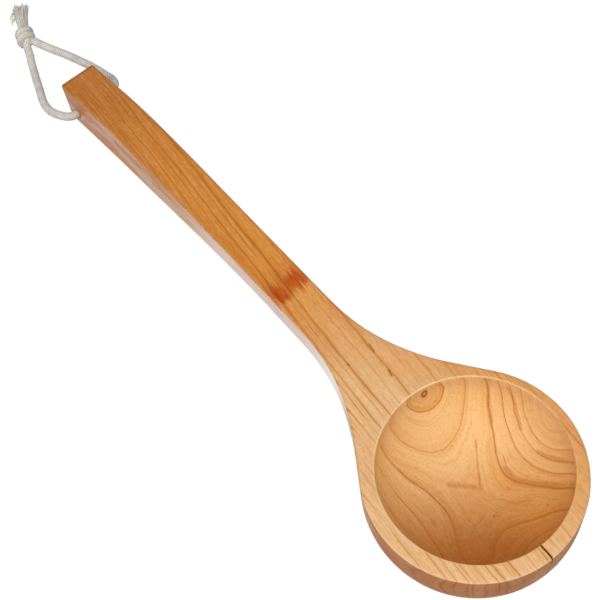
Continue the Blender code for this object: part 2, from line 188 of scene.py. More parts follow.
# Sizes that follow from these
HANDLE_HALF = HANDLE_WIDTH / 2
GRIP_REACH = HANDLE_REACH - GRIP_FROM_END
HOLLOW_EDGE = HOLLOW_RADIUS + HOLLOW_ROUND
HOLLOW_CENTRE = np.array((HOLLOW_FORWARD, HOLLOW_SIDEWAYS))
OPENING = math.pi / 2 - FLARE_ANGLE
FLARE_START = BOWL_RADIUS * math.sin(FLARE_ANGLE)
FLARE_HALF = BOWL_RADIUS * math.cos(FLARE_ANGLE)
NECK_END = (
    FLARE_START + (FLARE_HALF - HANDLE_HALF) / math.tan(FLARE_ANGLE) + NECK_RADIUS * math.tan(FLARE_ANGLE / 2)
)

# Heights of the top face above the rim, and depths of the slab's underside below it, along the ladle
TOP_STATIONS = (
    (NECK_START, 0.0), (WAIST_REACH, WAIST_RISE), (GRIP_REACH, GRIP_RISE), (HANDLE_REACH, END_RISE)
)
SLAB_STATIONS = (
    (NECK_START, SIDE_DEPTH),
    (WAIST_REACH, WAIST_THICKNESS - WAIST_RISE),
    (GRIP_REACH, GRIP_THICKNESS - GRIP_RISE),
    (HANDLE_REACH, END_THICKNESS - END_RISE),
)

# Numbers of steps round the curves
BOWL_STEPS = 96
NECK_STEPS = 16
HANDLE_STEPS = 70
ROUND_STEPS = 5
UNDER_STEPS = 16
HOLLOW_STEPS = 40
WALL_STEPS = 6
TOP_STEPS = 6
HOLE_SIDES = 48
CRACK_STEPS = 9
MERGE_DISTANCE = 0.00001
SHARE_SLACK = 1e-9

# How closely the underside's points crowd towards its edge, and the least slant at which a corner is rounded
UNDER_CROWDING = 1.25
LEAST_SLANT = 0.2

# Unevenness of the crack as a share of its half width, and its turn at each step
CRACK_SWAY = 0.25
CRACK_TURN = 2.1

# How far the cutters reach, as shares of the handle's width and of the rim's
HOLE_CUT, CRACK_CUT = 1.5, 2.0

# Edges sharper than this stay sharp
SHARP_ANGLE = math.radians(35.0)

# What the parts of the skin are told apart by: how far they face up or along, and slack in millimetres
FACES_UP = 0.7
FACES_ASIDE = 0.5
FACES_ALONG = 0.8
HOLLOW_FACES_UP = 0.2
HOLLOW_FACES_IN = -0.3
HOLLOW_SLACK = 0.35
HOLLOW_TOP = -0.25
END_SLACK = 2.0
RING_SLACK = 0.1
RING_TOP = 0.05
RING_SLOPES = (0.03, 0.5)

# Lines in the hollow that are growth rings and marks at once: places in millimetres in the ladle's frame
MIDDLE_LINE = (
    (-6, -6, -39), (-12, -12, -38), (-18, -14, -36), (-21, -19, -34), (-32, -27, -24), (-40, -28, -7),
)
SIDE_LINE = ((17, 33, -28), (7, 34, -29), (-2, 35, -28), (-11, 36, -26))
EDGE_LINE = ((21, 43, -11), (13, 44, -15), (6, 43, -19))

# Growth rings in the hollow: for each level, places in millimetres in the ladle's frame where its ring is
RINGS = (
    (0.0, ((49, -13, -7),)),
    (1.0, (
        (50, -3, -7), (49, -5, -13), (47, -7, -17), (45, -13, -20), (44, -20, -16), (45, -22, -11),
        (46, -22, -5), (47, -20, 0),
    )),
    (2.0, (
        (49, 10, -2), (48, 12, -10), (47, 11, -16), (44, 10, -21), (39, 7, -27), (36, 5, -30),
        (32, 1, -32), (29, -4, -34), (28, -9, -34), (28, -14, -33), (29, -18, -32), (33, -26, -26),
        (36, -30, -20), (39, -32, -12), (40, -32, 0),
    )),
    (3.0, (
        (44, 23, -2), (44, 22, -12), (41, 22, -18), (37, 21, -23), (33, 20, -27), (27, 19, -31),
        (22, 17, -34), (14, 15, -37), (5, 14, -38), (-4, 16, -37), (-8, 19, -36), (-12, 22, -34),
        (-18, 25, -31), (-23, 29, -27),
    )),
    (2.7, ((30, 11, -32), (21, 8, -36), (8, 9, -39), (-2, 11, -39), (-16, 16, -35), (-23, 21, -31))),
    (4.0, (
        (38, 31, -7), (37, 29, -16), (33, 30, -21), (25, 30, -26), (18, 30, -29), (7, 30, -32),
        (1, 31, -31), (-10, 34, -28), (-16, 36, -24), (-19, 37, -22),
    )),
    (4.4, SIDE_LINE),
    (5.0, ((28, 38, -14), (20, 39, -20), (10, 41, -22), (0, 41, -23), (-4, 41, -22))),
    (5.4, EDGE_LINE),
    (2.6, ((20, -23, -34), (14, -18, -37), (6, -12, -39), (1, -8, -40), (-11, 0, -39), (-12, 9, -38))),
    (3.0, (
        (32, -40, -3), (31, -41, -9), (29, -40, -15), (27, -38, -21), (23, -36, -25), (17, -33, -30),
        (11, -29, -34), (4, -24, -36), (-1, -22, -37), (-6, -22, -37), (-14, -25, -34), (-23, -30, -28),
        (-32, -33, -19),
    )),
    (4.0, (
        (26, -45, -7), (22, -43, -17), (15, -39, -26), (9, -37, -29), (4, -35, -31), (-5, -34, -32),
        (-13, -34, -30), (-22, -36, -25),
    )),
    (5.0, (
        (22, -46, -1), (17, -46, -15), (10, -44, -23), (0, -41, -27), (-10, -40, -26), (-16, -41, -22),
        (-24, -42, -14), (-30, -40, -2),
    )),
    (6.0, ((11, -47, -17), (2, -44, -23), (-7, -43, -23), (-14, -44, -21))),
    (7.0, ((4, -51, -7), (-3, -50, -11), (-9, -50, -8), (-14, -49, -4))),
    (2.7, MIDDLE_LINE),
    (3.0, (
        (-40, -24, -18), (-35, -19, -26), (-31, -13, -30), (-27, -7, -33), (-25, -1, -35), (-24, 2, -35),
        (-27, 11, -32), (-32, 19, -26),
    )),
    (4.0, ((-46, -15, -11), (-41, -12, -21), (-40, -4, -24), (-40, 0, -24), (-42, 5, -22))),
)
RING_SPACING = 8.0
RING_EASE = 300.0
RING_LINES = ((1.0, 1.0), (2.0, 1.1), (3.0, 0.9), (4.0, 1.4), (5.0, 1.9), (6.0, 1.6))

# Lines along the top face: distance across it in millimetres and how faint each is
TOP_SLOPE = 0.1
TOP_SLOPE_FROM = 50.0
TOP_LINES = (
    (46.0, 1.3), (39.5, 1.1), (35.8, 1.2), (31.5, 1.6), (29.8, 1.2), (25.2, 1.2), (20.8, 1.6),
    (13.3, 1.7), (2.0, 2.2), (-12.5, 2.2), (-15.0, 2.4), (-21.0, 1.3), (-30.0, 1.2), (-32.5, 1.6),
    (-40.7, 1.2), (-47.2, 1.3), (55.0, 1.3), (63.0, 1.2), (-56.0, 1.3),
)
CLEAR_LINES = ((10.2, 0.8), (-4.7, 1.1), (17.7, 1.2))
NO_LINE_NEAR = 9.0

# On the sides the lines bow out from this middle, by so much at half the side's depth, in millimetres
BOW_ASIDE = 25.0
BOW = 2.0
BOW_HALF_DEPTH = 11.0

# Where the stain across the handle starts, and its two blots: place, half length and half width
STAIN_FROM = 135.5
BLOTS = ((142.3, -5.2, 4.8, 5.0), (141.2, 6.8, 6.0, 3.4))

# Where the handle's end grows darker
END_FROM = 338.4

# Knot in the hollow
KNOT_CENTRE = (49.0, -13.0, -7.0)
KNOT_STRETCH = 2.0

# Marks, and darker spots: the places that each goes through in millimetres, half width and strength
MARKS = (
    (((20, -23, -34), (10, -15, -38), (1, -8, -40)), 0.9, 0.6),
    (((6, -28, -34), (0, -26, -36), (-4, -25, -36)), 0.7, 0.7),
    (((25, -14, -35.5), (20, -12.5, -37)), 0.5, 0.45),
    (((22, -17, -36), (15, -14.5, -38)), 0.5, 0.4),
    (((-11, 0, -39), (-12, 5, -38), (-12, 9, -38)), 0.8, 0.5),
    (((-12, 9, -38), (-16, 16, -35), (-23, 21, -31)), 0.8, 0.28),
    (MIDDLE_LINE, 0.8, 0.32),
    (((30, 11, -32), (21, 8, -36)), 0.8, 0.2),
    (SIDE_LINE, 0.7, 0.35),
    (EDGE_LINE, 0.7, 0.3),
    (((13, 3, -39), (7, -3, -40), (1, -8, -40)), 2.2, 0.42),
    (((-47.5, 2.9, -0.5), (-56.4, 3.5, -0.5)), 1.2, 0.8),
    (((34, 20, -27), (27, 19, -31), (22, 17, -34)), 0.9, 0.3),
    ((
        (-1, -24, -36), (-9, -23, -36), (-14, -26, -34), (-20, -29, -30), (-27, -32, -24), (-36, -34, -9),
    ), 2.8, 0.5),
    (((-8, -40, -27), (-14, -41, -24), (-20, -42, -19), (-28, -41, -7)), 1.9, 0.5),
    (((31, -41, -1), (28, -39, -19), (21, -35, -27)), 2.2, 0.4),
    (((22, -46, -6), (18, -47, -14), (11, -44, -22), (7, -42, -25)), 1.6, 0.5),
)
SPOTS = (
    (((85.8, 6.6, 0), (85.2, 6.7, 0)), 0.9, 1.0),
    (((87.0, -9.3, 0), (81.5, -7.9, 0)), 0.6, 0.8),
    (((69.4, -6.6, 0), (65.3, -5.5, 0)), 0.7, 0.9),
    (((-15, -2, -38.5), (-15.6, -1.5, -38.4)), 1.0, 0.8),
    (((-22, -32, -28), (-22.5, -31.5, -28)), 0.7, 0.6),
    (((-31, -23, -27), (-31.5, -22.5, -27)), 0.7, 0.6),
    (((-54.3, 3.2, 0), (-56.2, 3.6, 0)), 1.1, 0.6),
    (((-47.9, 2.9, -1), (-47.4, 2.7, -6)), 1.5, 0.55),
)

# Colours of the wood
RIM_PALE = (0.90, 0.565, 0.295, 1.0)
RIM_DEEP = (0.83, 0.41, 0.14, 1.0)
# The hollow's pale and rosy colours are partly painted light, and its deeper one partly painted shade
HOLLOW_PALE_WITH_LIGHT = (0.95, 0.64, 0.29, 1.0)
HOLLOW_DEEP = (0.79, 0.36, 0.085, 1.0)
HOLLOW_DEEPER_WITH_SHADE = (0.60, 0.235, 0.045, 1.0)
HOLLOW_ROSY_WITH_LIGHT = (0.93, 0.615, 0.295, 1.0)
NECK = (0.80, 0.37, 0.10, 1.0)
HANDLE = (0.77, 0.315, 0.056, 1.0)
HANDLE_FAR = (0.63, 0.235, 0.042, 1.0)
ARRIS = (0.60, 0.20, 0.026, 1.0)
# The outer wall's colour: partly the wood's darker tone, partly painted shade
WALL_TONE_AND_SHADE = (0.48, 0.14, 0.008, 1.0)
AMBER = (0.84, 0.60, 0.28, 1.0)
LINE = (0.52, 0.18, 0.022, 1.0)
BROWN = (0.36, 0.10, 0.008, 1.0)
RED_BROWN = (0.30, 0.06, 0.012, 1.0)
STAIN = (0.69, 0.27, 0.02, 1.0)
CREAM = (0.95, 0.72, 0.45, 1.0)

# Colours that are multiplied with what is under them. The others cover it
GLAZES = (AMBER, STAIN)

# Noises that don't follow the grain: scale along the ladle, scale across it and detail
PATCHES = {
    "sway": (0.02, 0.08, 2.0),
    "shiver": (0.12, 0.4, 2.0),
    "fibre": (0.26, 2.4, 2.0),
    "fleck": (0.35, 1.9, 1.0),
    "mottle": (0.28, 1.05, 3.0),
    "cloud": (0.02, 0.035, 1.0),
    "uneven": (0.05, 0.15, 1.0),
    "patchy": (0.022, 0.1, 2.0),
    "ripple": (0.05, 0.12, 2.0),
}

# Streaks that follow the grain: scale across it, scale along it, detail and seed. Ragged ones go straight
STREAKS = {
    "broad": (0.16, 0.008, 2.0, 2.0),
    "coarse": (0.5, 0.02, 3.0, 0.0),
    "thin": (0.8, 0.025, 2.0, 11.0),
    "hair": (0.42, 0.01, 3.0, 17.0),
    "fine": (2.6, 0.05, 3.0, 5.0),
    "fade": (0.1, 0.035, 1.0, 9.0),
}
RAGGED = (0.35, 0.03, 2.0, 7.0)

# How far the noises move the growth rings, in rings, and the rest, in millimetres
RING_SWAY, RING_SHIVER = 0.1, 0.05
LINE_SWAY, LINE_SHIVER = 3.0, 0.8
MARK_SHIVER = 1.2
NECK_SWAY = 14.0
RIM_CLOUDS = 50.0
RAGGED_BROAD, RAGGED_THIN = 13.0, 6.0
BLOT_THIN, BLOT_SHIVER = 16.0, 5.0

# Ramps: the two ends of a value, and what comes out at each if that isn't 0 and 1. Places are in millimetres
RIM_DEEPENS = (10.0, -48.0)
# Ramps of the hollow's tone: darker towards +Y partly painted shade, paler and rosier partly painted light
HOLLOW_DEEPENS_WITH_SHADE = (-22.0, 12.0)
HOLLOW_SLANT = 0.4
HOLLOW_PALES_WITH_LIGHT = (-42.0, 36.0)
HOLLOW_REDDENS_WITH_LIGHT = (-18.0, -50.0, 0.0, 0.65)
NECK_ALONG = (70.0, 130.0)
HANDLE_ALONG = (190.0, 330.0)
ARRIS_SHIFT = 1.5
WALL_LINES_ALONG = (60.0, 10.0)
WALL_ROUGHENS = (40.0, 0.0, 0.0, 0.2)
SIDE_SLANT = 0.7
SLANT_ALONG = (50.0, 100.0)
BOW_TURNS = (-14.0, 14.0, 1.0, -1.0)
FADE = (0.34, 0.6, 0.2, 1.0)
FADE_IN_HOLLOW = 0.6
HAIR_ON_HANDLE = (0.0, 1.0, 0.17, 0.3)
HAIR_IN_HOLLOW = 0.02
CALM_SHIFT = 60.0
INK_ON_HANDLE, INK_ON_WALL = 0.6, 0.85
MARK_CORE = 0.2
STAIN_EDGE = (STAIN_FROM - 2.0, STAIN_FROM + 3.0)
STAIN_TRAIL = (STAIN_FROM + 2.0, STAIN_FROM + 24.0, 0.65, 0.0)
STAIN_THIN = (0.3, 0.6, 0.7, 1.0)
BLOT_EDGE = (0.1, 3.0, 1.0, 0.0)
KNOT_ALONG = (KNOT_CENTRE[0] - 9.0, KNOT_CENTRE[0] - 7.0)
KNOT_RING_SHARE = 0.55
KNOT_EYE_REACH = 1.3
ROUGHNESS = (0.3, 0.7, 0.28, 0.42)
SIDE_PATCHES = (0.42, 0.6, 0.0, 0.16)
SIDE_ROUGHENS = (130.0, 260.0, 0.05, 0.4)
COAT_ALONG = (62.0, 95.0)
COAT_WEARS = (175.0, 245.0, 1.0, 0.05)
COAT_PATCHES = (0.47, 0.56, 0.0, 0.6)
RELIEF_ON_COAT = (0.0, 1.0, 1.0, 0.15)
RELIEF_FINE, RELIEF_FIBRE = 0.4, 0.6

# Lacquer, and the gloss of wood and cotton
WOOD_IOR, WOOD_SPECULAR, COAT_ROUGHNESS = 1.5, 0.2, 0.06
COTTON_ROUGHNESS, COTTON_SPECULAR, COTTON_SHEEN = 0.9, 0.2, 0.3

# Bumps: strength and distance
WOOD_RELIEF = (0.35, 0.00008)
WOOD_WAVES = (0.6, 0.0008)
COTTON_RELIEF = (0.5, 0.0002)

# Painted highlight on the rim's rounded arrises, inside and outside: distance to the arris and its shift,
# depth, and where it shows
INNER_ARRIS_HIGHLIGHT, INNER_ARRIS_HIGHLIGHT_SHIFT, INNER_ARRIS_HIGHLIGHT_DEPTH = (0.15, 0.6, 0.9, 0.0), 0.45, (-1.3, -0.5)
OUTER_ARRIS_HIGHLIGHT, OUTER_ARRIS_HIGHLIGHT_SHIFT, OUTER_ARRIS_HIGHLIGHT_DEPTH = (0.1, 0.5, 0.5, 0.0), -0.4, (-1.8, -1.0)
OUTER_ARRIS_HIGHLIGHT_ALONG = (26.0, 31.0, 1.0, 0.0)
ARRIS_HIGHLIGHT_ACROSS = (-40.0, 25.0, 0.25, 1.0)

# Layers of colour on the wood, in this order: the colour, then the factors of its share. A factor is a value,
# by its name in wood_material, and may have a ramp after it
LAYERS = (
    # Ground, deeper along the handle, towards its arrises and down the bowl's wall, there partly painted
    # shade
    # The hollow's ground is partly painted shade on its darker side and painted light on its paler side
    ("inside", "hollow"),
    (NECK, "edge", "outside"),
    ("along_handle", "handle"),
    (ARRIS, ("aside", 6.5, 11.5, 0.0, 0.5), ("x", 110.0, 150.0, 0.6, 1.0), "edge", "top"),
    (WALL_TONE_AND_SHADE, "side", ("x", 60.0, 10.0, 0.0, 0.85)),
    # Grain, from broad to fine
    (AMBER, ("broad", 0.42, 0.7, 0.0, 0.22)),
    (AMBER, ("coarse", 0.45, 0.75, 0.0, 0.26)),
    (AMBER, ("thin", 0.42, 0.74, 0.0, 0.34), ("handle", 0.0, 1.0, 0.7, 1.1)),
    (CREAM, ("thin", 0.26, 0.46, 0.16, 0.0), ("hollow", 0.0, 1.0, 1.0, 0.2)),
    (AMBER, ("fine", 0.42, 0.78, 0.0, 0.3)),
    (AMBER, ("fibre", 0.48, 0.74, 0.0, 0.4)),
    (CREAM, ("fibre", 0.25, 0.45, 0.14, 0.0)),
    (AMBER, ("mottle", 0.5, 0.7, 0.0, 0.34), ("handle", 0.0, 1.0, 1.0, 0.65)),
    (CREAM, ("mottle", 0.3, 0.46, 0.13, 0.0)),
    (BROWN, ("fleck", 0.68, 0.76, 0.0, 0.3)),
    (LINE, ("hair", 0.0, 0.035, 1.0, 0.0), ("calm", -47.0, -28.0, 0.25, 1.0), "fainter"),
    # Growth rings: in the hollow the wood darkens up to each line, and starts pale again beyond it
    (AMBER, ("late", 0.6, 1.0, 0.0, 0.36), "hollow", ("ring", 6.0, 6.2, 1.0, 0.0)),
    (AMBER, ("line", 0.1, 1.3, 0.34, 0.0), "fade"),
    ("inked", ("line", 0.05, 0.6, 0.85, 0.0), "fade_off_side", ("top", 0.0, 1.0, 1.0, 0.75)),
    (AMBER, ("clear", 0.1, 2.2, 0.55, 0.0), "fade"),
    ("inked", ("clear", 0.1, 0.6, 0.72, 0.0)),
    # Stain across the handle, sharp towards the neck, in two blots
    (STAIN, "blots", ("fine", 0.25, 0.6, 0.7, 1.0), ("fibre", 0.25, 0.5, 0.8, 1.0), "handle",
     ("top", 0.0, 1.0, 0.6, 1.0)),
    # Knot in the hollow: its ground, rings, heart and eye
    (AMBER, ("ring", 1.0, 0.9, 0.0, 0.16), "hollow"),
    (LINE, ("from_knot", 4.0, 9.0, 0.25, 0.0), "near_knot", ("knot_ring", 0.02, 0.25, 1.0, 0.0)),
    (LINE, ("from_knot", 1.6, 2.6, 0.5, 0.0), "near_knot"),
    (RED_BROWN, ("from_eye", 0.2, 0.6, 0.95, 0.0), "near_knot"),
    # Marks and spots, a painted highlight on the rim's arrises, and darkened edges at the handle's end
    (LINE, "marks", ("fibre", 0.3, 0.5, 0.7, 1.0)),
    (BROWN, "spots"),
    (CREAM, "arris_highlight", ("cloud", 0.35, 0.6, 0.45, 0.8)),
    (BROWN, ("x", END_FROM, HANDLE_REACH / MM - 1.4), ("coarse", 0.3, 0.6, 0.5, 0.95), "off_end"),
)

# Colours of the cotton, the noise of its fluff and the scale of its patches, and their ramps
COTTON_PALE = (0.83, 0.78, 0.71, 1.0)
COTTON_DULL = (0.69, 0.635, 0.56, 1.0)
# The groove colour is painted shade in the braid's grooves and between a yarn's plies
COTTON_GROOVE_SHADE = (0.27, 0.225, 0.18, 1.0)
COTTON_FLUFF = (0.88, 0.85, 0.80, 1.0)
FLUFF_NOISE = (2400.0, 3.0, 0.6)
PATCH_SCALE = 240.0
PATCH_RAMP = (0.35, 0.7)
GROOVE_SHADE_RAMP = (0.15, 0.95, 0.85, 0.0)
FLUFF_RAMP = (0.4, 0.8, 0.0, 0.35)

# Floor and the low wall round it, and the light on them
FLOOR_MIDDLE, FLOOR_REACH = 1.0, 3.0
FLOOR_SIDES = 64
FLOOR_PLACE = (0.1, 0.0, -0.0002)
FLOOR_ROUGHNESS, FLOOR_GLOW = 0.9, 0.88
WALL_HEIGHT = 1.3
WHITE = (1.0, 1.0, 1.0, 1.0)
FLOOR_GREY = (0.22, 0.22, 0.22, 1.0)
WORLD_STRENGTH = 0.42

# Lamps: name, place, what they aim at, size and power
LAMPS = (
    ("key", (-0.62, 0.18, 1.45), (0.08, 0.0, 0.0), 2.0, 16.8),
    ("fill", (0.1, 1.3, 0.9), (0.1, 0.0, 0.0), 1.2, 8.5),
)


def clear_helpers():
    for item in list(bpy.data.objects):
        if item.name in ("Cube", "Light", "Camera"):
            bpy.data.objects.remove(item, do_unlink=True)


def add_object(name, data):
    made = bpy.data.objects.new(name, data)
    bpy.context.scene.collection.objects.link(made)
    return made


def build_camera():
    lens = bpy.data.cameras.new("camera")
    lens.lens = CAMERA_LENS
    lens.sensor_width = CAMERA_SENSOR
    lens.clip_end = 20.0
    made = add_object("camera", lens)
    right, down, forward = Vector(CAMERA_RIGHT), Vector(CAMERA_DOWN), Vector(CAMERA_FORWARD)
    turn = Matrix((right, -down, -forward)).transposed()
    made.matrix_world = Matrix.Translation(CAMERA_PLACE) @ turn.to_4x4()
    bpy.context.scene.camera = made


# Shapes of the ladle


def smooth_step(value):
    share = min(max(value, 0.0), 1.0)
    return share * share * (3.0 - 2.0 * share)


def through(stations, x):
    """Height at x of the smooth curve through stations, pairs of a distance and a height."""
    places = [place for place, _ in stations]
    heights = [height for _, height in stations]
    last = len(stations) - 1
    slopes = []
    for i in range(last + 1):
        before, after = max(i - 1, 0), min(i + 1, last)
        slopes.append((heights[after] - heights[before]) / (places[after] - places[before]))
    slopes[0] = 0.0
    x = min(max(x, places[0]), places[last])
    i = min(sum(place <= x for place in places[1:]), last - 1)
    run = places[i + 1] - places[i]
    t = (x - places[i]) / run
    return (
        heights[i] * (2 * t**3 - 3 * t**2 + 1)
        + heights[i + 1] * (3 * t**2 - 2 * t**3)
        + slopes[i] * run * (t**3 - 2 * t**2 + t)
        + slopes[i + 1] * run * (t**3 - t**2)
    )


def top_height(x):
    """Height of the top face above the rim."""
    return through(TOP_STATIONS, x)


def slab_depth(x):
    """Depth below the rim of the underside of the rim's side, the neck and the handle."""
    return through(SLAB_STATIONS, x)


def rest_tilt():
    """Angle between the rim and a table under the bowl's flat and the handle's rounded end."""
    across = HANDLE_REACH - UNDER_ROUND
    up = BOWL_DEPTH - (END_THICKNESS - END_RISE) + UNDER_ROUND
    return math.atan2(up, across) - math.asin(UNDER_ROUND / math.hypot(across, up))


def base_depth(x):
    """Depth below the rim of the flat that the bowl lies on."""
    return BOWL_DEPTH - x * math.tan(rest_tilt())


def under_depth(x, y):
    """Depth below the rim of the whole underside: the bowl's belly, which dies away along the neck."""
    reach, angle = math.hypot(x, y), abs(math.atan2(y, x))
    blend = smooth_step((BELLY_FULL_ANGLE - angle) / (BELLY_FULL_ANGLE - BELLY_NECK_ANGLE))
    edge = BOWL_RADIUS + (BELLY_REACH - BOWL_RADIUS) * blend
    power = BELLY_POWER_BOWL + (BELLY_POWER_NECK - BELLY_POWER_BOWL) * blend
    share = min(max((reach - BASE_RADIUS) / (edge - BASE_RADIUS), 0.0), 1.0)
    slab = slab_depth(x)
    return slab + (base_depth(x) - slab) * (1.0 - share**2) ** power


def neck_side(x):
    """Half width of the neck: the straight tangent, then the curve."""
    curve_start = NECK_END - NECK_RADIUS * math.sin(FLARE_ANGLE)
    if x >= curve_start:
        return HANDLE_HALF + (NECK_RADIUS - math.sqrt(max(NECK_RADIUS**2 - (NECK_END - x) ** 2, 0.0)))
    return FLARE_HALF - (x - FLARE_START) * math.tan(FLARE_ANGLE)


def arc_share(centre_x, radius):
    """Share of the way from the flare to the neck's end at which a foot leaves its circle for the middle."""
    arc = radius * OPENING
    return arc / (arc + NECK_END - centre_x - radius)


def foot(centre, radius, share, side):
    """Point that far along a circle's arc towards the handle, and then along the handle's middle."""
    run = NECK_END - centre[0] - radius
    way = share * (radius * OPENING + run)
    if share <= arc_share(centre[0], radius):
        angle = OPENING - way / radius
        return np.array((centre[0] + radius * math.cos(angle), centre[1] + side * radius * math.sin(angle)))
    past = way - radius * OPENING
    return np.array((centre[0] + radius + past, centre[1] * (1.0 - past / run)))


def ribs(side):
    """Lines across the ladle on one side, from the bowl's far side to the handle's end. Each has a point on
    the outline, its foot on the underside, its foot on the top, and whether the hollow begins there."""
    found = []
    for angle in np.linspace(math.pi, OPENING, BOWL_STEPS + 1)[:-1]:
        turn = np.array((math.cos(angle), side * math.sin(angle)))
        found.append((BOWL_RADIUS * turn, BASE_RADIUS * turn, HOLLOW_CENTRE + HOLLOW_EDGE * turn, True))
    stops = (0.0, arc_share(0.0, BASE_RADIUS), arc_share(HOLLOW_FORWARD, HOLLOW_EDGE), 1.0)
    shares = [0.0]
    for start, stop in zip(stops, stops[1:]):
        shares += list(np.linspace(start, stop, NECK_STEPS + 1)[1:])
    for share in shares:
        x = FLARE_START + (NECK_END - FLARE_START) * share
        under = foot((0.0, 0.0), BASE_RADIUS, share, side)
        top = foot(HOLLOW_CENTRE, HOLLOW_EDGE, share, side)
        found.append((np.array((x, side * neck_side(x))), under, top, share <= stops[2] + SHARE_SLACK))
    last = HANDLE_REACH - END_CORNER
    for x in np.linspace(NECK_END, last, HANDLE_STEPS + 1)[1:]:
        middle = np.array((min(x, HANDLE_REACH - HANDLE_HALF), 0.0))
        found.append((np.array((x, side * HANDLE_HALF)), middle, middle, False))
    middle = np.array((HANDLE_REACH - HANDLE_HALF, 0.0))
    for turn in np.linspace(0.0, math.pi / 2, ROUND_STEPS + 1)[1:]:
        x = last + END_CORNER * math.sin(turn)
        y = HANDLE_HALF - END_CORNER * (1.0 - math.cos(turn))
        found.append((np.array((x, side * y)), middle, middle, False))
    found.append((np.array((HANDLE_REACH, 0.0)), middle, middle, False))
    return found


def towards(point, end, inward, radius):
    """Direction from the outline to a foot, how far that is, and how much of it a rounded corner takes."""
    span = end - point
    reach = float(np.hypot(*span))
    slant = max(float(span @ inward) / reach, LEAST_SLANT)
    return span / reach, reach, min(radius / slant, reach)


def rib_points(point, inward, under, top):
    """Points of one rib, from its foot on the underside, up round the side, to its foot on the top."""
    points = []
    way, reach, corner = towards(point, under, inward, UNDER_ROUND)
    for share in np.linspace(1.0, 0.0, UNDER_STEPS + 1)[:-1] ** UNDER_CROWDING:
        x, y = point + way * (corner + (reach - corner) * share)
        points.append((x, y, -under_depth(x, y)))
    for turn in np.linspace(math.pi / 2, 0.0, ROUND_STEPS + 1):
        x, y = point + way * corner * (1.0 - math.cos(turn))
        points.append((x, y, UNDER_ROUND * (1.0 - math.sin(turn)) - under_depth(x, y)))
    bottom = points[-1][2]
    crown = top_height(point[0]) - TOP_ROUND
    for share in np.linspace(0.0, 1.0, WALL_STEPS + 1)[1:]:
        points.append((point[0], point[1], bottom + (crown - bottom) * share))
    way, reach, corner = towards(point, top, inward, TOP_ROUND)
    for turn in np.linspace(0.0, math.pi / 2, ROUND_STEPS + 1)[1:]:
        x, y = point + way * corner * (1.0 - math.cos(turn))
        points.append((x, y, top_height(x) - TOP_ROUND * (1.0 - math.sin(turn))))
    for share in np.linspace(0.0, 1.0, TOP_STEPS + 1)[1:]:
        x, y = point + way * (corner + (reach - corner) * share)
        points.append((x, y, top_height(x)))
    return points


def hollow_points(edge):
    """Points of one rib down the hollow, from its edge to the middle of its floor."""
    turn = (edge - HOLLOW_CENTRE) / np.hypot(*(edge - HOLLOW_CENTRE))
    points = []
    for step in np.linspace(0.0, math.pi / 2, ROUND_STEPS + 1)[1:]:
        x, y = HOLLOW_CENTRE + turn * (HOLLOW_RADIUS + HOLLOW_ROUND * (1.0 - math.sin(step)))
        points.append((x, y, -HOLLOW_ROUND * (1.0 - math.cos(step))))
    depth = BOWL_DEPTH - FLOOR_THICKNESS
    for angle in np.linspace(0.0, math.pi / 2, HOLLOW_STEPS + 1):
        x, y = HOLLOW_CENTRE + turn * HOLLOW_RADIUS * math.cos(angle)
        points.append((x, y, -HOLLOW_SIDE_DEPTH - (depth - HOLLOW_SIDE_DEPTH) * math.sin(angle)))
    return points


def add_strip(mesh, first, second):
    """Quads between two rows of vertices."""
    for a, b, c, d in zip(first, first[1:], second[1:], second):
        mesh.faces.new((a, b, c, d))


def wood_mesh():
    """The wood as one closed skin, without its hole and crack."""
    left, right = ribs(1), ribs(-1)
    around = left + right[-2:0:-1]
    outline = np.array([point for point, _, _, _ in around])
    along = np.roll(outline, -1, 0) - np.roll(outline, 1, 0)
    inward = np.stack((along[:, 1], -along[:, 0]), 1) / np.hypot(along[:, 0], along[:, 1])[:, None]
    mesh = bmesh.new()
    rows, hollows = [], []
    for (point, under, top, on_hollow), normal in zip(around, inward):
        rows.append([mesh.verts.new(spot) for spot in rib_points(point, normal, under, top)])
        more = [mesh.verts.new(spot) for spot in hollow_points(top)] if on_hollow else []
        hollows.append([rows[-1][-1]] + more)
    base = []
    for i, row in enumerate(rows):
        after = (i + 1) % len(rows)
        add_strip(mesh, row, rows[after])
        if len(hollows[i]) > 1 and len(hollows[after]) > 1:
            add_strip(mesh, hollows[i], hollows[after])
        if math.hypot(row[0].co.x, row[0].co.y) < BASE_RADIUS + MERGE_DISTANCE:
            base.append(row[0])
    mesh.faces.new(base)
    bmesh.ops.remove_doubles(mesh, verts=mesh.verts, dist=MERGE_DISTANCE)
    bmesh.ops.recalc_face_normals(mesh, faces=mesh.faces)
    made = bpy.data.meshes.new("ladle_wood")
    mesh.to_mesh(made)
    mesh.free()
    return made


def hole_place():
    """Centre of the cross hole in the ladle's frame."""
    x = HANDLE_REACH - HOLE_FROM_END
    return Vector((x, 0.0, HOLE_ABOVE_UNDERSIDE - slab_depth(x)))


def hole_cutter():
    mesh = bmesh.new()
    turn = Matrix.Rotation(math.pi / 2, 4, "X")
    bmesh.ops.create_cone(
        mesh,
        cap_ends=True,
        segments=HOLE_SIDES,
        radius1=HOLE_DIAMETER / 2,
        radius2=HOLE_DIAMETER / 2,
        depth=HANDLE_WIDTH * HOLE_CUT,
        matrix=Matrix.Translation(hole_place()) @ turn,
    )
    return cutter("hole_cutter", mesh)


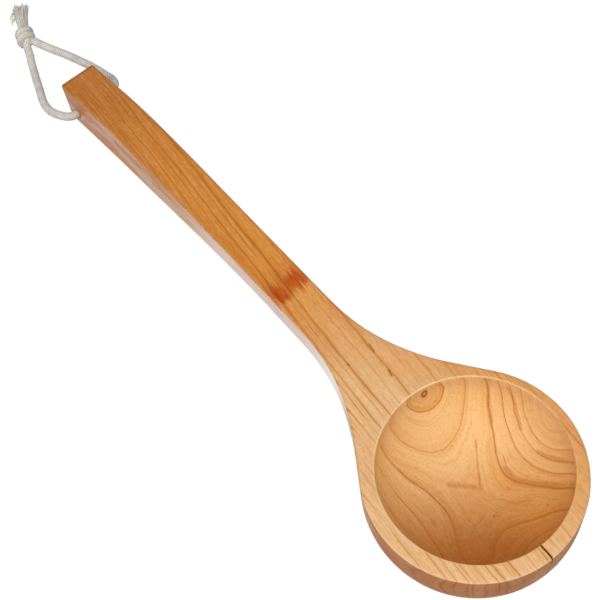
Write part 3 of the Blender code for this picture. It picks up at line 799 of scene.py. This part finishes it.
def crack_cutter():
    """A wedge across the rim, widest at the top, with uneven walls."""
    mesh = bmesh.new()
    rim = BOWL_RADIUS - HOLLOW_RADIUS
    half = CRACK_WIDTH / 2
    profile = ((-half, TOP_ROUND), (half, TOP_ROUND), (half, 0.0), (0.0, -CRACK_DEPTH), (-half, 0.0))
    rings = []
    for k, x in enumerate(np.linspace(-CRACK_CUT * rim, CRACK_CUT * rim, CRACK_STEPS)):
        sway = CRACK_SWAY * half * math.sin(CRACK_TURN * k)
        rings.append([mesh.verts.new((x, y + sway, z)) for y, z in profile])
    for first, second in zip(rings, rings[1:]):
        for i in range(len(profile)):
            after = (i + 1) % len(profile)
            mesh.faces.new((first[i], second[i], second[after], first[after]))
    mesh.faces.new(rings[0])
    mesh.faces.new(rings[-1])
    bmesh.ops.recalc_face_normals(mesh, faces=mesh.faces)
    middle = (BOWL_RADIUS + HOLLOW_RADIUS) / 2
    place = Vector((middle * math.cos(CRACK_ANGLE), middle * math.sin(CRACK_ANGLE), 0.0))
    bmesh.ops.transform(
        mesh, matrix=Matrix.Translation(place) @ Matrix.Rotation(CRACK_ANGLE, 4, "Z"), verts=mesh.verts
    )
    return cutter("crack_cutter", mesh)


def cutter(name, mesh):
    data = bpy.data.meshes.new(name)
    mesh.to_mesh(data)
    mesh.free()
    return add_object(name, data)


def cut(target, cutters):
    """Takes the cutters out of the target for good, and removes them."""
    for other in cutters:
        change = target.modifiers.new(other.name, "BOOLEAN")
        change.operation = "DIFFERENCE"
        change.solver = "EXACT"
        change.object = other
    bpy.context.view_layer.update()
    solid = bpy.data.meshes.new_from_object(target.evaluated_get(bpy.context.evaluated_depsgraph_get()))
    target.modifiers.clear()
    target.data = solid
    for other in cutters:
        bpy.data.objects.remove(other, do_unlink=True)


# Growth rings


def ring_field():
    """A smooth field through the ring places: its centres, weights and linear part."""
    places = np.array([place for _, spots in RINGS for place in spots], float)
    levels = np.array([level for level, spots in RINGS for _ in spots], float)
    count = len(places)
    gaps = np.linalg.norm(places[:, None] - places[None], axis=2) ** 3
    linear = np.hstack((np.ones((count, 1)), places))
    matrix = np.zeros((count + 4, count + 4))
    matrix[:count, :count] = gaps + RING_EASE * np.eye(count)
    matrix[:count, count:] = linear
    matrix[count:, :count] = linear.T
    solved = np.linalg.solve(matrix, np.concatenate((levels, np.zeros(4))))
    return places, solved[:count], solved[count:]


def ring_values(field, spots):
    """Level and slope of the field at spots, in millimetres."""
    places, weights, linear = field
    steps = spots[:, None] - places[None]
    gaps = np.linalg.norm(steps, axis=2)
    level = gaps**3 @ weights + linear[0] + spots @ linear[1:]
    slope = 3.0 * np.einsum("ij,ijk,j->ik", gaps, steps, weights) + linear[1:]
    return level, slope


def read(items, name, width=1, kind=float):
    """One property of all the items as an array, with a row for each item."""
    values = np.zeros(len(items) * width, kind)
    items.foreach_get(name, values)
    return values.reshape(-1, width) if width > 1 else values


def add_rings(mesh):
    """Writes on each corner which region it is in, and the growth ring's level and spacing in the hollow."""
    spots, normals = read(mesh.vertices, "co", 3) / MM, read(mesh.vertices, "normal", 3)
    centre = HOLLOW_CENTRE / MM
    reach = np.hypot(*(spots[:, :2] - centre).T)
    inside = (reach < HOLLOW_EDGE / MM + RING_SLACK) & (spots[:, 2] < RING_TOP)
    found, steep = ring_values(ring_field(), spots[inside])
    flat = steep - normals[inside] * np.sum(steep * normals[inside], 1)[:, None]
    level, slope = np.zeros(len(spots)), np.full(len(spots), 1.0 / RING_SPACING)
    level[inside] = found
    slope[inside] = np.clip(np.linalg.norm(flat, axis=1), *RING_SLOPES)
    middles, facing = read(mesh.polygons, "center", 3) / MM, read(mesh.polygons, "normal", 3)
    outward = middles[:, :2] - centre
    reach = np.hypot(*outward.T)
    near = (reach < HOLLOW_RADIUS / MM + HOLLOW_SLACK) & (middles[:, 2] < HOLLOW_TOP)
    facing_in = (outward * facing[:, :2]).sum(1) < HOLLOW_FACES_IN * reach
    in_hollow = near & ((facing[:, 2] > HOLLOW_FACES_UP) | facing_in)
    on_top = ~in_hollow & (facing[:, 2] > FACES_UP)
    upright = ~in_hollow & (abs(facing[:, 2]) < FACES_ASIDE)
    on_end = upright & (facing[:, 0] > FACES_ALONG) & (middles[:, 0] > HANDLE_REACH / MM - END_SLACK)
    sizes = read(mesh.polygons, "loop_total", kind=int)
    corners = read(mesh.loops, "vertex_index", kind=int)
    regions = {"in_hollow": in_hollow, "on_top": on_top, "on_side": upright & ~on_end, "on_end": on_end}
    layers = {"ring_level": level[corners], "ring_slope": slope[corners]}
    layers |= {name: np.repeat(values, sizes) for name, values in regions.items()}
    for name, values in layers.items():
        layer = mesh.attributes.new(name, "FLOAT", "CORNER")
        layer.data.foreach_set("value", values.astype(np.float32))
    layer = mesh.attributes.new("ladle_place", "FLOAT_VECTOR", "POINT")
    layer.data.foreach_set("vector", spots.reshape(-1).astype(np.float32))


# Materials


def joined(operation):
    """A method that joins values by a math node."""
    return lambda *values: values[0].graph.math(operation, *values)


class Value:
    """What a node gives out, so that nodes are joined by plain arithmetic."""

    __add__, __sub__, __mul__ = joined("ADD"), joined("SUBTRACT"), joined("MULTIPLY")
    __truediv__, __pow__, __abs__ = joined("DIVIDE"), joined("POWER"), joined("ABSOLUTE")
    most, least, part, root = joined("MAXIMUM"), joined("MINIMUM"), joined("FRACT"), joined("SQRT")

    def __init__(self, graph, socket):
        self.graph = graph
        self.socket = socket

    def __rsub__(self, other):
        return self.graph.math("SUBTRACT", other, self)

    def ramp(self, low, high, start=0.0, end=1.0):
        """Smooth step from low to high, as start to end."""
        ends = {"From Min": low, "From Max": high, "To Min": start, "To Max": end}
        return self.graph.node("MapRange", "Result", {"Value": self, **ends}, interpolation_type="SMOOTHSTEP")


class Graph:
    """Adds nodes to a material in few words."""

    def __init__(self, name):
        self.material = bpy.data.materials.new(name)
        self.material.use_nodes = True
        self.tree = self.material.node_tree

    def feed(self, socket, value):
        if isinstance(value, Value):
            self.tree.links.new(value.socket, socket)
        elif value is not None:
            socket.default_value = value

    def node(self, kind, output, sockets, **settings):
        """Adds a node, sets it, feeds its sockets by name or number, and gives one of its outputs."""
        made = self.tree.nodes.new("ShaderNode" + kind)
        for name, value in settings.items():
            setattr(made, name, value)
        for name, value in sockets.items():
            self.feed(made.inputs[name], value)
        return Value(self, made.outputs[output])

    def shade(self, sockets):
        """Feeds the shader's own sockets."""
        for name, value in sockets.items():
            self.feed(self.tree.nodes["Principled BSDF"].inputs[name], value)
        return self.material

    def math(self, operation, *values):
        return self.node("Math", 0, dict(enumerate(values)), operation=operation)

    def vector_math(self, operation, first, second):
        output = "Value" if operation in ("DOT_PRODUCT", "DISTANCE") else "Vector"
        sockets = {0: first, "Scale" if operation == "SCALE" else 1: second}
        return self.node("VectorMath", output, sockets, operation=operation)

    def attribute(self, name, output="Fac"):
        return self.node("Attribute", output, {}, attribute_name=name)

    def vector(self, *values):
        return self.node("CombineXYZ", 0, dict(enumerate(values)))

    def noise(self, place, scale=1.0, detail=2.0, roughness=0.5):
        sockets = {"Vector": place, "Scale": scale, "Detail": detail, "Roughness": roughness}
        return self.node("TexNoise", 0, sockets)

    def colour(self, share, first, second, blend="MIX"):
        """Mix of two colours. The node has sockets of the same names for numbers, so these go by number."""
        return self.node("Mix", 2, {0: share, 6: first, 7: second}, data_type="RGBA", blend_type=blend)

    def bump(self, height, strength, distance, normal=None):
        sockets = {"Strength": strength, "Distance": distance, "Height": height, "Normal": normal}
        return self.node("Bump", 0, sockets)


def nearest_line(value, lines, slope=None):
    """Distance in millimetres to the nearest of the lines, each made to seem as far as it is faint."""
    nearest = None
    for place, faint in lines:
        gap = abs(value - place)
        gap = (gap if slope is None else gap / slope) * faint
        nearest = gap if nearest is None else nearest.least(gap)
    return nearest


def wood_material():
    graph = Graph("lacquered_wood_look")
    place = graph.attribute("ladle_place", "Vector")
    x, y, z = (graph.node("SeparateXYZ", axis, {0: place}) for axis in "XYZ")
    names = ("ring_level", "ring_slope", "in_hollow", "on_top", "on_side", "on_end")
    level, slope, hollow, top, upright, on_end = (graph.attribute(name) for name in names)
    outside = 1.0 - hollow
    side = outside * (1.0 - top)

    def choose(in_hollow, on_top, on_rest):
        return hollow * in_hollow + outside * (top * on_top + (1.0 - top) * on_rest)

    def streaks(across, wide, long, detail, seed):
        return graph.noise(graph.vector(across * wide, x * long, seed), detail=detail)

    noises = {
        name: graph.noise(graph.vector(x * long, y * wide, z * wide), detail=detail)
        for name, (long, wide, detail) in PATCHES.items()
    }
    sway, shiver = noises["sway"] - 0.5, noises["shiver"] - 0.5

    # Distance across the grain in millimetres, in the hollow, on the top face and on the rest
    ring = level + sway * RING_SWAY + shiver * RING_SHIVER
    flat = y + (x - TOP_SLOPE_FROM) * TOP_SLOPE
    across = flat + (sway * LINE_SWAY + shiver * LINE_SHIVER)
    deep = z / BOW_HALF_DEPTH + 1.0
    bow = (1.0 - deep * deep) * BOW
    bent = across + z * SIDE_SLANT * x.ramp(*SLANT_ALONG) + bow * (flat - BOW_ASIDE).ramp(*BOW_TURNS)
    grain = choose(ring * RING_SPACING, across, bent)
    line = choose(
        nearest_line(ring, RING_LINES, slope), nearest_line(across, TOP_LINES), nearest_line(bent, TOP_LINES)
    )
    clear = choose(NO_LINE_NEAR, nearest_line(across, CLEAR_LINES), nearest_line(bent, CLEAR_LINES))

    noises |= {name: streaks(grain, *numbers) for name, numbers in STREAKS.items()}
    thin = noises["thin"]
    fade = noises["fade"].ramp(*FADE).most(hollow * FADE_IN_HOLLOW)
    edge = (x + sway * NECK_SWAY).ramp(*NECK_ALONG)
    ragged = x + ((streaks(y, *RAGGED) - 0.5) * RAGGED_BROAD + (thin - 0.5) * RAGGED_THIN)
    handle = ragged.ramp(*STAIN_EDGE)

    blots = x.ramp(*STAIN_TRAIL) * thin.ramp(*STAIN_THIN)
    for middle, beside, half_long, half_wide in BLOTS:
        long_way = (x + thin * BLOT_THIN - (middle + BLOT_THIN / 2)) / half_long
        wide_way = (y + shiver * BLOT_SHIVER - beside) / half_wide
        blots = blots.most((long_way * long_way + wide_way * wide_way).ramp(*BLOT_EDGE))

    raised = (z - KNOT_CENTRE[2]) / KNOT_STRETCH
    from_knot = ((y - KNOT_CENTRE[1]) ** 2.0 + raised**2.0).root() + shiver * LINE_SHIVER
    swayed = graph.vector_math("ADD", place, graph.vector(0.0, shiver * MARK_SHIVER, 0.0))

    def marked_along(marks):
        marked = 0.0
        for places, wide, strength in marks:
            for start, end in zip(places, places[1:]):
                way = Vector(end) - Vector(start)
                gap = graph.vector_math("SUBTRACT", swayed, [float(value) for value in start])
                along = graph.vector_math("DOT_PRODUCT", gap, way / way.length_squared).most(0.0).least(1.0)
                gap = graph.vector_math("DISTANCE", gap, graph.vector_math("SCALE", way, along))
                marked = graph.math("MAXIMUM", marked, gap.ramp(MARK_CORE * wide, wide, strength, 0.0))
        return marked

    inner = ((x - HOLLOW_FORWARD / MM) ** 2.0 + (y - HOLLOW_SIDEWAYS / MM) ** 2.0).root()
    outer = (x * x + y * y).root()
    # Painted highlight along the rim's rounded arrises, inside and outside, fading towards the bowl's far
    # side
    arris_highlight = abs(inner - (HOLLOW_RADIUS / MM + INNER_ARRIS_HIGHLIGHT_SHIFT)).ramp(*INNER_ARRIS_HIGHLIGHT) * z.ramp(*INNER_ARRIS_HIGHLIGHT_DEPTH)
    arris_highlight = arris_highlight * (x + y * HOLLOW_SLANT).ramp(*ARRIS_HIGHLIGHT_ACROSS)
    outer_arris_highlight = abs(outer - (BOWL_RADIUS / MM + OUTER_ARRIS_HIGHLIGHT_SHIFT)).ramp(*OUTER_ARRIS_HIGHLIGHT)
    outer_arris_highlight = outer_arris_highlight * (z.ramp(*OUTER_ARRIS_HIGHLIGHT_DEPTH) * x.ramp(*OUTER_ARRIS_HIGHLIGHT_ALONG))

    values = noises | dict(
        x=x, hollow=hollow, outside=outside, top=top, side=side, edge=edge, handle=handle, ring=ring,
        line=line, clear=clear, fade=fade, blots=blots, from_knot=from_knot,
    ) | {
        "aside": abs(y + ARRIS_SHIFT),
        "hair": abs(noises["hair"] - 0.5),
        "calm": y + outside * CALM_SHIFT,
        "fainter": hollow * HAIR_IN_HOLLOW + handle.ramp(*HAIR_ON_HANDLE),
        "late": ring.part(),
        "fade_off_side": fade.most(side),
        "near_knot": hollow * x.ramp(*KNOT_ALONG),
        "knot_ring": abs((from_knot * KNOT_RING_SHARE).part() - 0.5),
        "from_eye": abs(from_knot - KNOT_EYE_REACH),
        "marks": marked_along(MARKS),
        "spots": marked_along(SPOTS),
        "arris_highlight": arris_highlight.most(outer_arris_highlight),
        "off_end": 1.0 - on_end,
    }
    # The hollow's ground, darker towards +Y: partly the wood's tone, partly painted shade
    inside = graph.colour(y.ramp(*HOLLOW_DEEPENS_WITH_SHADE), HOLLOW_DEEP, HOLLOW_DEEPER_WITH_SHADE)
    # Paler towards the handle: partly the wood's tone, partly painted light
    inside = graph.colour((x - y * HOLLOW_SLANT).ramp(*HOLLOW_PALES_WITH_LIGHT), inside, HOLLOW_PALE_WITH_LIGHT)
    inked = (handle * INK_ON_HANDLE).most(side * x.ramp(*WALL_LINES_ALONG) * INK_ON_WALL)
    mixed = {
        # Rosier towards -Y: partly the wood's tone, partly painted light
        "inside": graph.colour(y.ramp(*HOLLOW_REDDENS_WITH_LIGHT), inside, HOLLOW_ROSY_WITH_LIGHT),
        "along_handle": graph.colour(x.ramp(*HANDLE_ALONG), HANDLE, HANDLE_FAR),
        "inked": graph.colour(inked, LINE, BROWN),
    }
    rim_depth = y + (0.5 - noises["cloud"]) * RIM_CLOUDS
    tone = graph.colour(rim_depth.ramp(*RIM_DEEPENS), RIM_PALE, RIM_DEEP)
    for paint, *factors in LAYERS:
        share = None
        for factor in factors:
            name, *steps = (factor,) if isinstance(factor, str) else factor
            value = values[name].ramp(*steps) if steps else values[name]
            share = value if share is None else share * value
        tone = graph.colour(share, tone, mixed.get(paint, paint), "MULTIPLY" if paint in GLAZES else "MIX")

    # Lacquer, thicker and smoother on the neck's and handle's sides
    coated = upright * x.ramp(*COAT_ALONG)
    rough = noises["uneven"].ramp(*ROUGHNESS)
    patches = noises["patchy"].ramp(*SIDE_PATCHES) + x.ramp(*SIDE_ROUGHENS)
    rough = rough + coated * (patches - rough) + side * x.ramp(*WALL_ROUGHENS)
    height = (noises["fine"] * RELIEF_FINE + noises["fibre"] * RELIEF_FIBRE) * coated.ramp(*RELIEF_ON_COAT)
    waves = graph.bump(noises["ripple"], *WOOD_WAVES)
    return graph.shade({
        "Base Color": tone,
        "Roughness": rough,
        "IOR": WOOD_IOR,
        "Specular IOR Level": WOOD_SPECULAR,
        "Coat Weight": coated * x.ramp(*COAT_WEARS).most(noises["patchy"].ramp(*COAT_PATCHES)),
        "Coat Roughness": COAT_ROUGHNESS,
        "Normal": graph.bump(height, *WOOD_RELIEF, waves),
    })


def cotton_material():
    graph = Graph("cotton_cord_look")
    place = graph.node("TexCoord", "Object", {})
    fluff = graph.noise(place, *FLUFF_NOISE)
    patch = graph.noise(place, PATCH_SCALE)
    tone = graph.colour(patch.ramp(*PATCH_RAMP), COTTON_PALE, COTTON_DULL)
    # Painted shade in the braid's grooves and between a yarn's plies
    tone = graph.colour(graph.attribute("groove").ramp(*GROOVE_SHADE_RAMP), tone, COTTON_GROOVE_SHADE)
    tone = graph.colour(fluff.ramp(*FLUFF_RAMP), tone, COTTON_FLUFF)
    return graph.shade({
        "Base Color": tone,
        "Roughness": COTTON_ROUGHNESS,
        "Specular IOR Level": COTTON_SPECULAR,
        "Sheen Weight": COTTON_SHEEN,
        "Normal": graph.bump(fluff, *COTTON_RELIEF),
    })


# Cord


def smooth_route(points, step):
    """Points about one step apart on a smooth curve through the given ones."""
    given = [Vector(point) for point in points]
    ends = [given[0] * 2 - given[1]] + given + [given[-1] * 2 - given[-2]]
    fine = []
    for a, b, c, d in zip(ends, ends[1:], ends[2:], ends[3:]):
        for t in np.linspace(0.0, 1.0, ROUTE_STEPS + 1)[:-1]:
            square, cube = 2 * a - 5 * b + 4 * c - d, 3 * b - a - 3 * c + d
            fine.append(0.5 * (2 * b + (c - a) * t + square * t**2 + cube * t**3))
    fine.append(given[-1])
    lengths = [0.0]
    for a, b in zip(fine, fine[1:]):
        lengths.append(lengths[-1] + (b - a).length)
    count = max(round(lengths[-1] / step), 2)
    wanted = np.linspace(0.0, lengths[-1], count + 1)
    axes = [np.interp(wanted, lengths, [spot[axis] for spot in fine]) for axis in range(3)]
    return np.stack(axes, 1)


def frames_along(points, closed=False):
    """Two directions across the route at each point, that turn as little as they can."""
    if closed:
        ahead = np.roll(points, -1, 0) - np.roll(points, 1, 0)
    else:
        ahead = np.gradient(points, axis=0)
    ahead /= np.linalg.norm(ahead, axis=1)[:, None]
    side = np.cross(ahead[0], ASLANT)
    side /= np.linalg.norm(side)
    firsts = []
    for direction in ahead:
        side = side - direction * (side @ direction)
        side /= np.linalg.norm(side)
        firsts.append(side)
    firsts = np.array(firsts)
    return firsts, np.cross(ahead, firsts)


def braid_height(along, around):
    """Relief from 0 to 1 of two sets of strands that cross over and under each other."""
    first = BRAID_STRANDS * around + along / BRAID_PITCH
    second = BRAID_STRANDS * around - along / BRAID_PITCH
    over_first = np.cos(math.pi * (np.floor(first) + second - 0.5))
    over_second = -np.cos(math.pi * (np.floor(second) + first - 0.5))
    heights = []
    for phase, over in ((first, over_first), (second, over_second)):
        hump = np.sqrt(np.maximum(1.0 - (2.0 * (phase - np.floor(phase)) - 1.0) ** 2, 0.0))
        heights.append(BRAID_HUMP * hump + BRAID_OVER * over)
    return np.clip((np.maximum(*heights) + BRAID_LIFT) / (1.0 + BRAID_LIFT), 0.0, 1.0)


def travelled(points):
    """Distance along the route at each point."""
    gaps = np.linalg.norm(np.diff(points, axis=0), axis=1)
    return np.concatenate(((0.0,), np.cumsum(gaps)))


def tube_spots(points, reach, angles, closed=False):
    """A row of vertices round each point of the route, each as far out as reach says."""
    firsts, seconds = frames_along(points, closed)
    cosine, sine = np.cos(angles)[None, :, None], np.sin(angles)[None, :, None]
    return points[:, None] + reach[:, :, None] * (cosine * firsts[:, None] + sine * seconds[:, None])


def tube_faces(rows, sides, closed=False):
    """Quads between neighbouring rows of a tube's vertices."""
    index = np.arange(rows * sides).reshape(rows, sides)
    after = np.roll(index, -1, 1)
    quads = np.stack((index, after, np.roll(after, -1, 0), np.roll(index, -1, 0)), -1)
    return (quads if closed else quads[:-1]).reshape(-1, 4).tolist()


def grooved_mesh(name, vertices, faces, grooves):
    """A smooth mesh that carries how deep in a groove each vertex is."""
    made = bpy.data.meshes.new(name)
    made.from_pydata(vertices.tolist(), [], faces)
    layer = made.attributes.new("groove", "FLOAT", "POINT")
    layer.data.foreach_set("value", grooves.astype(np.float32))
    made.shade_smooth()
    return made


def braided_mesh(name, points, radius, closed=False, shift=0.0):
    """A braided tube along points. Radius is one value or one for each point."""
    radii = np.broadcast_to(np.asarray(radius, float), len(points))
    turns = np.linspace(0.0, 1.0, BRAID_SIDES, endpoint=False)
    relief = braid_height((travelled(points) + shift)[:, None], turns[None])
    reach = radii[:, None] + BRAID_RELIEF * (relief - BRAID_MIDDLE)
    vertices = tube_spots(points, reach, 2 * math.pi * turns, closed).reshape(-1, 3)
    grooves = relief.reshape(-1)
    rows, sides = len(points), BRAID_SIDES
    faces = tube_faces(rows, sides, closed)
    if not closed:
        vertices = np.vstack((vertices, points[:1], points[-1:]))
        grooves = np.append(grooves, (0.5, 0.5))
        start, end = rows * sides, rows * sides + 1
        last = (rows - 1) * sides
        for k in range(sides):
            faces.append(((k + 1) % sides, k, start))
            faces.append((last + k, last + (k + 1) % sides, end))
    return grooved_mesh(name, vertices, faces, grooves)


def from_pivot(points):
    return [(HINGE_PLACE[0] + x * MM, HINGE_PLACE[1] + y * MM, HINGE_PLACE[2] + z * MM) for x, y, z in points]


def knot_mesh():
    """Two diagonal turns of the cord round the knot, a third across under them, and packed cord within."""
    turned = Matrix.Translation(from_pivot([KNOT_PLACE])[0]) @ Matrix.Rotation(KNOT_TURN, 4, "Z")
    whole = bmesh.new()

    def pack(part, place):
        part.transform(place)
        whole.from_mesh(part)
        bpy.data.meshes.remove(part)

    turns = np.linspace(0.0, 2 * math.pi, KNOT_STEPS, endpoint=False)
    for shift, tilt, reach, share in KNOT_WRAPS:
        out = reach * MM
        ring = np.stack((KNOT_SWAY * np.sin(2 * turns), out * np.cos(turns), out * np.sin(turns)), 1)
        part = braided_mesh("part", ring, CORD_DIAMETER / 2 * share, closed=True, shift=shift * MM)
        tilted = Matrix.Rotation(math.radians(tilt), 4, "Z")
        pack(part, turned @ Matrix.Translation((shift * MM, 0.0, 0.0)) @ tilted)
    core = np.zeros((CORE_STEPS, 3))
    core[:, 0] = np.linspace(-CORE_HALF, CORE_HALF, CORE_STEPS) * MM
    radii = CORE_RADIUS * np.sqrt(np.maximum(1.0 - (core[:, 0] / CORE_CLOSES) ** 2, CORE_LEAST))
    pack(braided_mesh("part", core, radii), turned)
    made = bpy.data.meshes.new("knot")
    whole.to_mesh(made)
    whole.free()
    return made


def yarn(points, radius, twist, plies, sides, seed):
    """Vertices, faces and grooves of one twisted yarn along points, tapered at its end."""
    way = travelled(points)
    share = way / way[-1]
    radii = radius * np.clip((TAPER_END - share) / TAPER_SHARE, TAPER_LEAST, 1.0) ** 0.5
    turns = np.linspace(0.0, 2 * math.pi, sides, endpoint=False)
    lump = np.abs(np.cos(plies * turns[None] / 2 + (way / twist * math.pi)[:, None] + seed))
    spots = tube_spots(points, radii[:, None] * (YARN_BODY + YARN_LUMP * lump), turns)
    rows = len(points)
    faces = tube_faces(rows, sides)
    faces.append(list(range(sides))[::-1])
    faces.append(list(range((rows - 1) * sides, rows * sides)))
    return spots.reshape(-1, 3), faces, 0.5 + 0.5 * lump.reshape(-1)


def tail_mesh(name, route, seed, hooks=()):
    """A frayed end: twisted yarns that part, and loose fibres among them."""
    random = np.random.default_rng(seed)
    middle = smooth_route(from_pivot(route), TAIL_STEP)
    firsts, seconds = frames_along(middle)
    share = np.linspace(0.0, 1.0, len(middle))
    vertices, faces, grooves = [], [], []

    def add(points, radius, form):
        spots, rings, lumps = yarn(points, radius, *form, random.uniform(*PHASE_RANGE))
        start = sum(len(part) for part in vertices)
        vertices.append(spots)
        faces.extend([[index + start for index in face] for face in rings])
        grooves.append(lumps)

    for k in range(YARNS + FIBRES):
        thick = k < YARNS
        angle = 2 * math.pi * (k / YARNS if thick else random.uniform()) + random.uniform(*ANGLE_RANGE)
        out = math.sqrt((k % YARN_RINGS + YARN_INSET) / YARN_RINGS) if thick else random.uniform(*FIBRE_OUT)
        spread = (SPREAD_START + SPREAD_MORE * share**SPREAD_POWER) * MM * out
        wave = random.uniform(*WAVE_RANGE) * MM * share
        swing = np.sin(share * random.uniform(*WAVE_TURNS) + random.uniform(*PHASE_RANGE))
        reach = random.uniform(*(YARN_REACH if thick else FIBRE_REACH))
        last = max(int(reach * (len(middle) - 1)), LEAST_STEPS)
        turn = angle + TAIL_TURN * share
        points = (
            middle
            + (spread * np.cos(turn) + wave * swing)[:, None] * firsts
            + (spread * TAIL_FLATNESS * np.sin(turn) + wave * np.cos(swing * 3))[:, None] * seconds
        )[: last + 1]
        if thick:
            add(points, random.uniform(*YARN_RADII) * MM, YARN_FORM)
        else:
            add(points[random.integers(*LATE_STEPS) :], random.uniform(*FIBRE_RADII) * MM, FIBRE_FORM)
    for start, reach in hooks:
        first = int(start * (len(middle) - 1))
        ahead = Vector(middle[first + 1] - middle[first - 1]).normalized()
        beside = Vector((-ahead.y, ahead.x, 0.0)).normalized()
        foot = Vector(middle[first]) + beside * random.uniform(*HOOK_BESIDE) * MM
        foot.z += random.uniform(*HOOK_ABOVE) * MM
        back = [Vector(middle[first // 3])]
        for turn in np.linspace(0.0, HOOK_TURN, HOOK_STEPS):
            bend = ahead * (HOOK_STRETCH * math.sin(turn)) + beside * (1.0 - math.cos(turn))
            back.append(foot + reach * MM * bend)
        add(smooth_route(back, HOOK_STEP), HOOK_RADIUS, YARN_FORM)
    return grooved_mesh(name, np.vstack(vertices), faces, np.concatenate(grooves))


def build_cord():
    cotton = cotton_material()
    pieces = {}
    for name, mesh in (
        ("knot_look", knot_mesh()),
        ("tail_left_look", tail_mesh("tail_left", LEFT_TAIL, LEFT_SEED, HOOKS)),
        ("tail_right_look", tail_mesh("tail_right", RIGHT_TAIL, RIGHT_SEED)),
    ):
        mesh.materials.append(cotton)
        pieces[name] = add_object(name, mesh)
    for name, leg in (("cord_left_look", LEFT_LEG), ("cord_right_look", RIGHT_LEG)):
        points = smooth_route(from_pivot(leg), BRAID_STEP)
        mesh = braided_mesh(name, points, CORD_DIAMETER / 2)
        mesh.materials.append(cotton)
        pieces[name] = add_object(name, mesh)
        pieces[name + "_path"] = points
    for name, node in (
        ("cord_left_look", "hanging_cord"),
        ("cord_right_look", "hanging_cord"),
        ("knot_look", "cord_knot"),
        ("tail_left_look", "cord_tail_left"),
        ("tail_right_look", "cord_tail_right"),
    ):
        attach(pieces[name], "hanging_loop")
        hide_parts(node)


def build_ladle():
    tilt = rest_tilt()
    body = add_object("ladle_look", wood_mesh())
    cut(body, [hole_cutter(), crack_cutter()])
    mesh = body.data
    mesh.shade_smooth()
    mesh.set_sharp_from_angle(angle=SHARP_ANGLE)
    add_rings(mesh)
    mesh.materials.clear()
    mesh.materials.append(wood_material())
    place = Vector((BOWL_DEPTH * math.sin(tilt), 0.0, BOWL_DEPTH * math.cos(tilt)))
    mesh.transform(Matrix.Translation(place) @ Matrix.Rotation(tilt, 4, "Y"))
    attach(body, "ladle")
    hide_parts("ladle_body")


# Studio


def build_studio():
    turns = np.linspace(0.0, 2 * math.pi, FLOOR_SIDES, endpoint=False)
    corners, faces = [(0.0, 0.0, 0.0)], []
    for reach, height in ((FLOOR_MIDDLE, 0.0), (FLOOR_REACH, 0.0), (FLOOR_REACH, WALL_HEIGHT)):
        corners += [(reach * math.cos(turn), reach * math.sin(turn), height) for turn in turns]
    for k in range(FLOOR_SIDES):
        after = (k + 1) % FLOOR_SIDES
        faces.append((0, 1 + k, 1 + after))
        for ring in (1, 1 + FLOOR_SIDES):
            faces.append((ring + k, ring + k + FLOOR_SIDES, ring + after + FLOOR_SIDES, ring + after))
    data = bpy.data.meshes.new("floor")
    data.from_pydata(corners, [], faces)
    floor = add_object("floor", data)
    floor.location = FLOOR_PLACE
    graph = Graph("pale_floor")
    rays = ("Is Camera Ray", "Is Glossy Ray", "Is Transmission Ray")
    camera, glossy, through_glass = (graph.node("LightPath", ray, {}) for ray in rays)
    glow = camera.most(glossy).most(through_glass) * FLOOR_GLOW
    data.materials.append(graph.shade({
        "Base Color": FLOOR_GREY,
        "Roughness": FLOOR_ROUGHNESS,
        "Emission Color": WHITE,
        "Emission Strength": glow,
    }))

    world = bpy.data.worlds.new("studio")
    bpy.context.scene.world = world
    world.use_nodes = True
    back = world.node_tree.nodes["Background"]
    back.inputs["Color"].default_value = WHITE
    back.inputs["Strength"].default_value = WORLD_STRENGTH

    for name, place, aim, size, power in LAMPS:
        light = bpy.data.lights.new(name, "AREA")
        light.shape = "SQUARE"
        light.size = size
        light.energy = power
        made = add_object(name, light)
        made.location = place
        made.rotation_euler = (Vector(aim) - Vector(place)).to_track_quat("-Z", "Y").to_euler()
    bpy.context.scene.view_settings.view_transform = "Standard"


clear_helpers()
build_camera()
build_cord()
build_ladle()
build_studio()
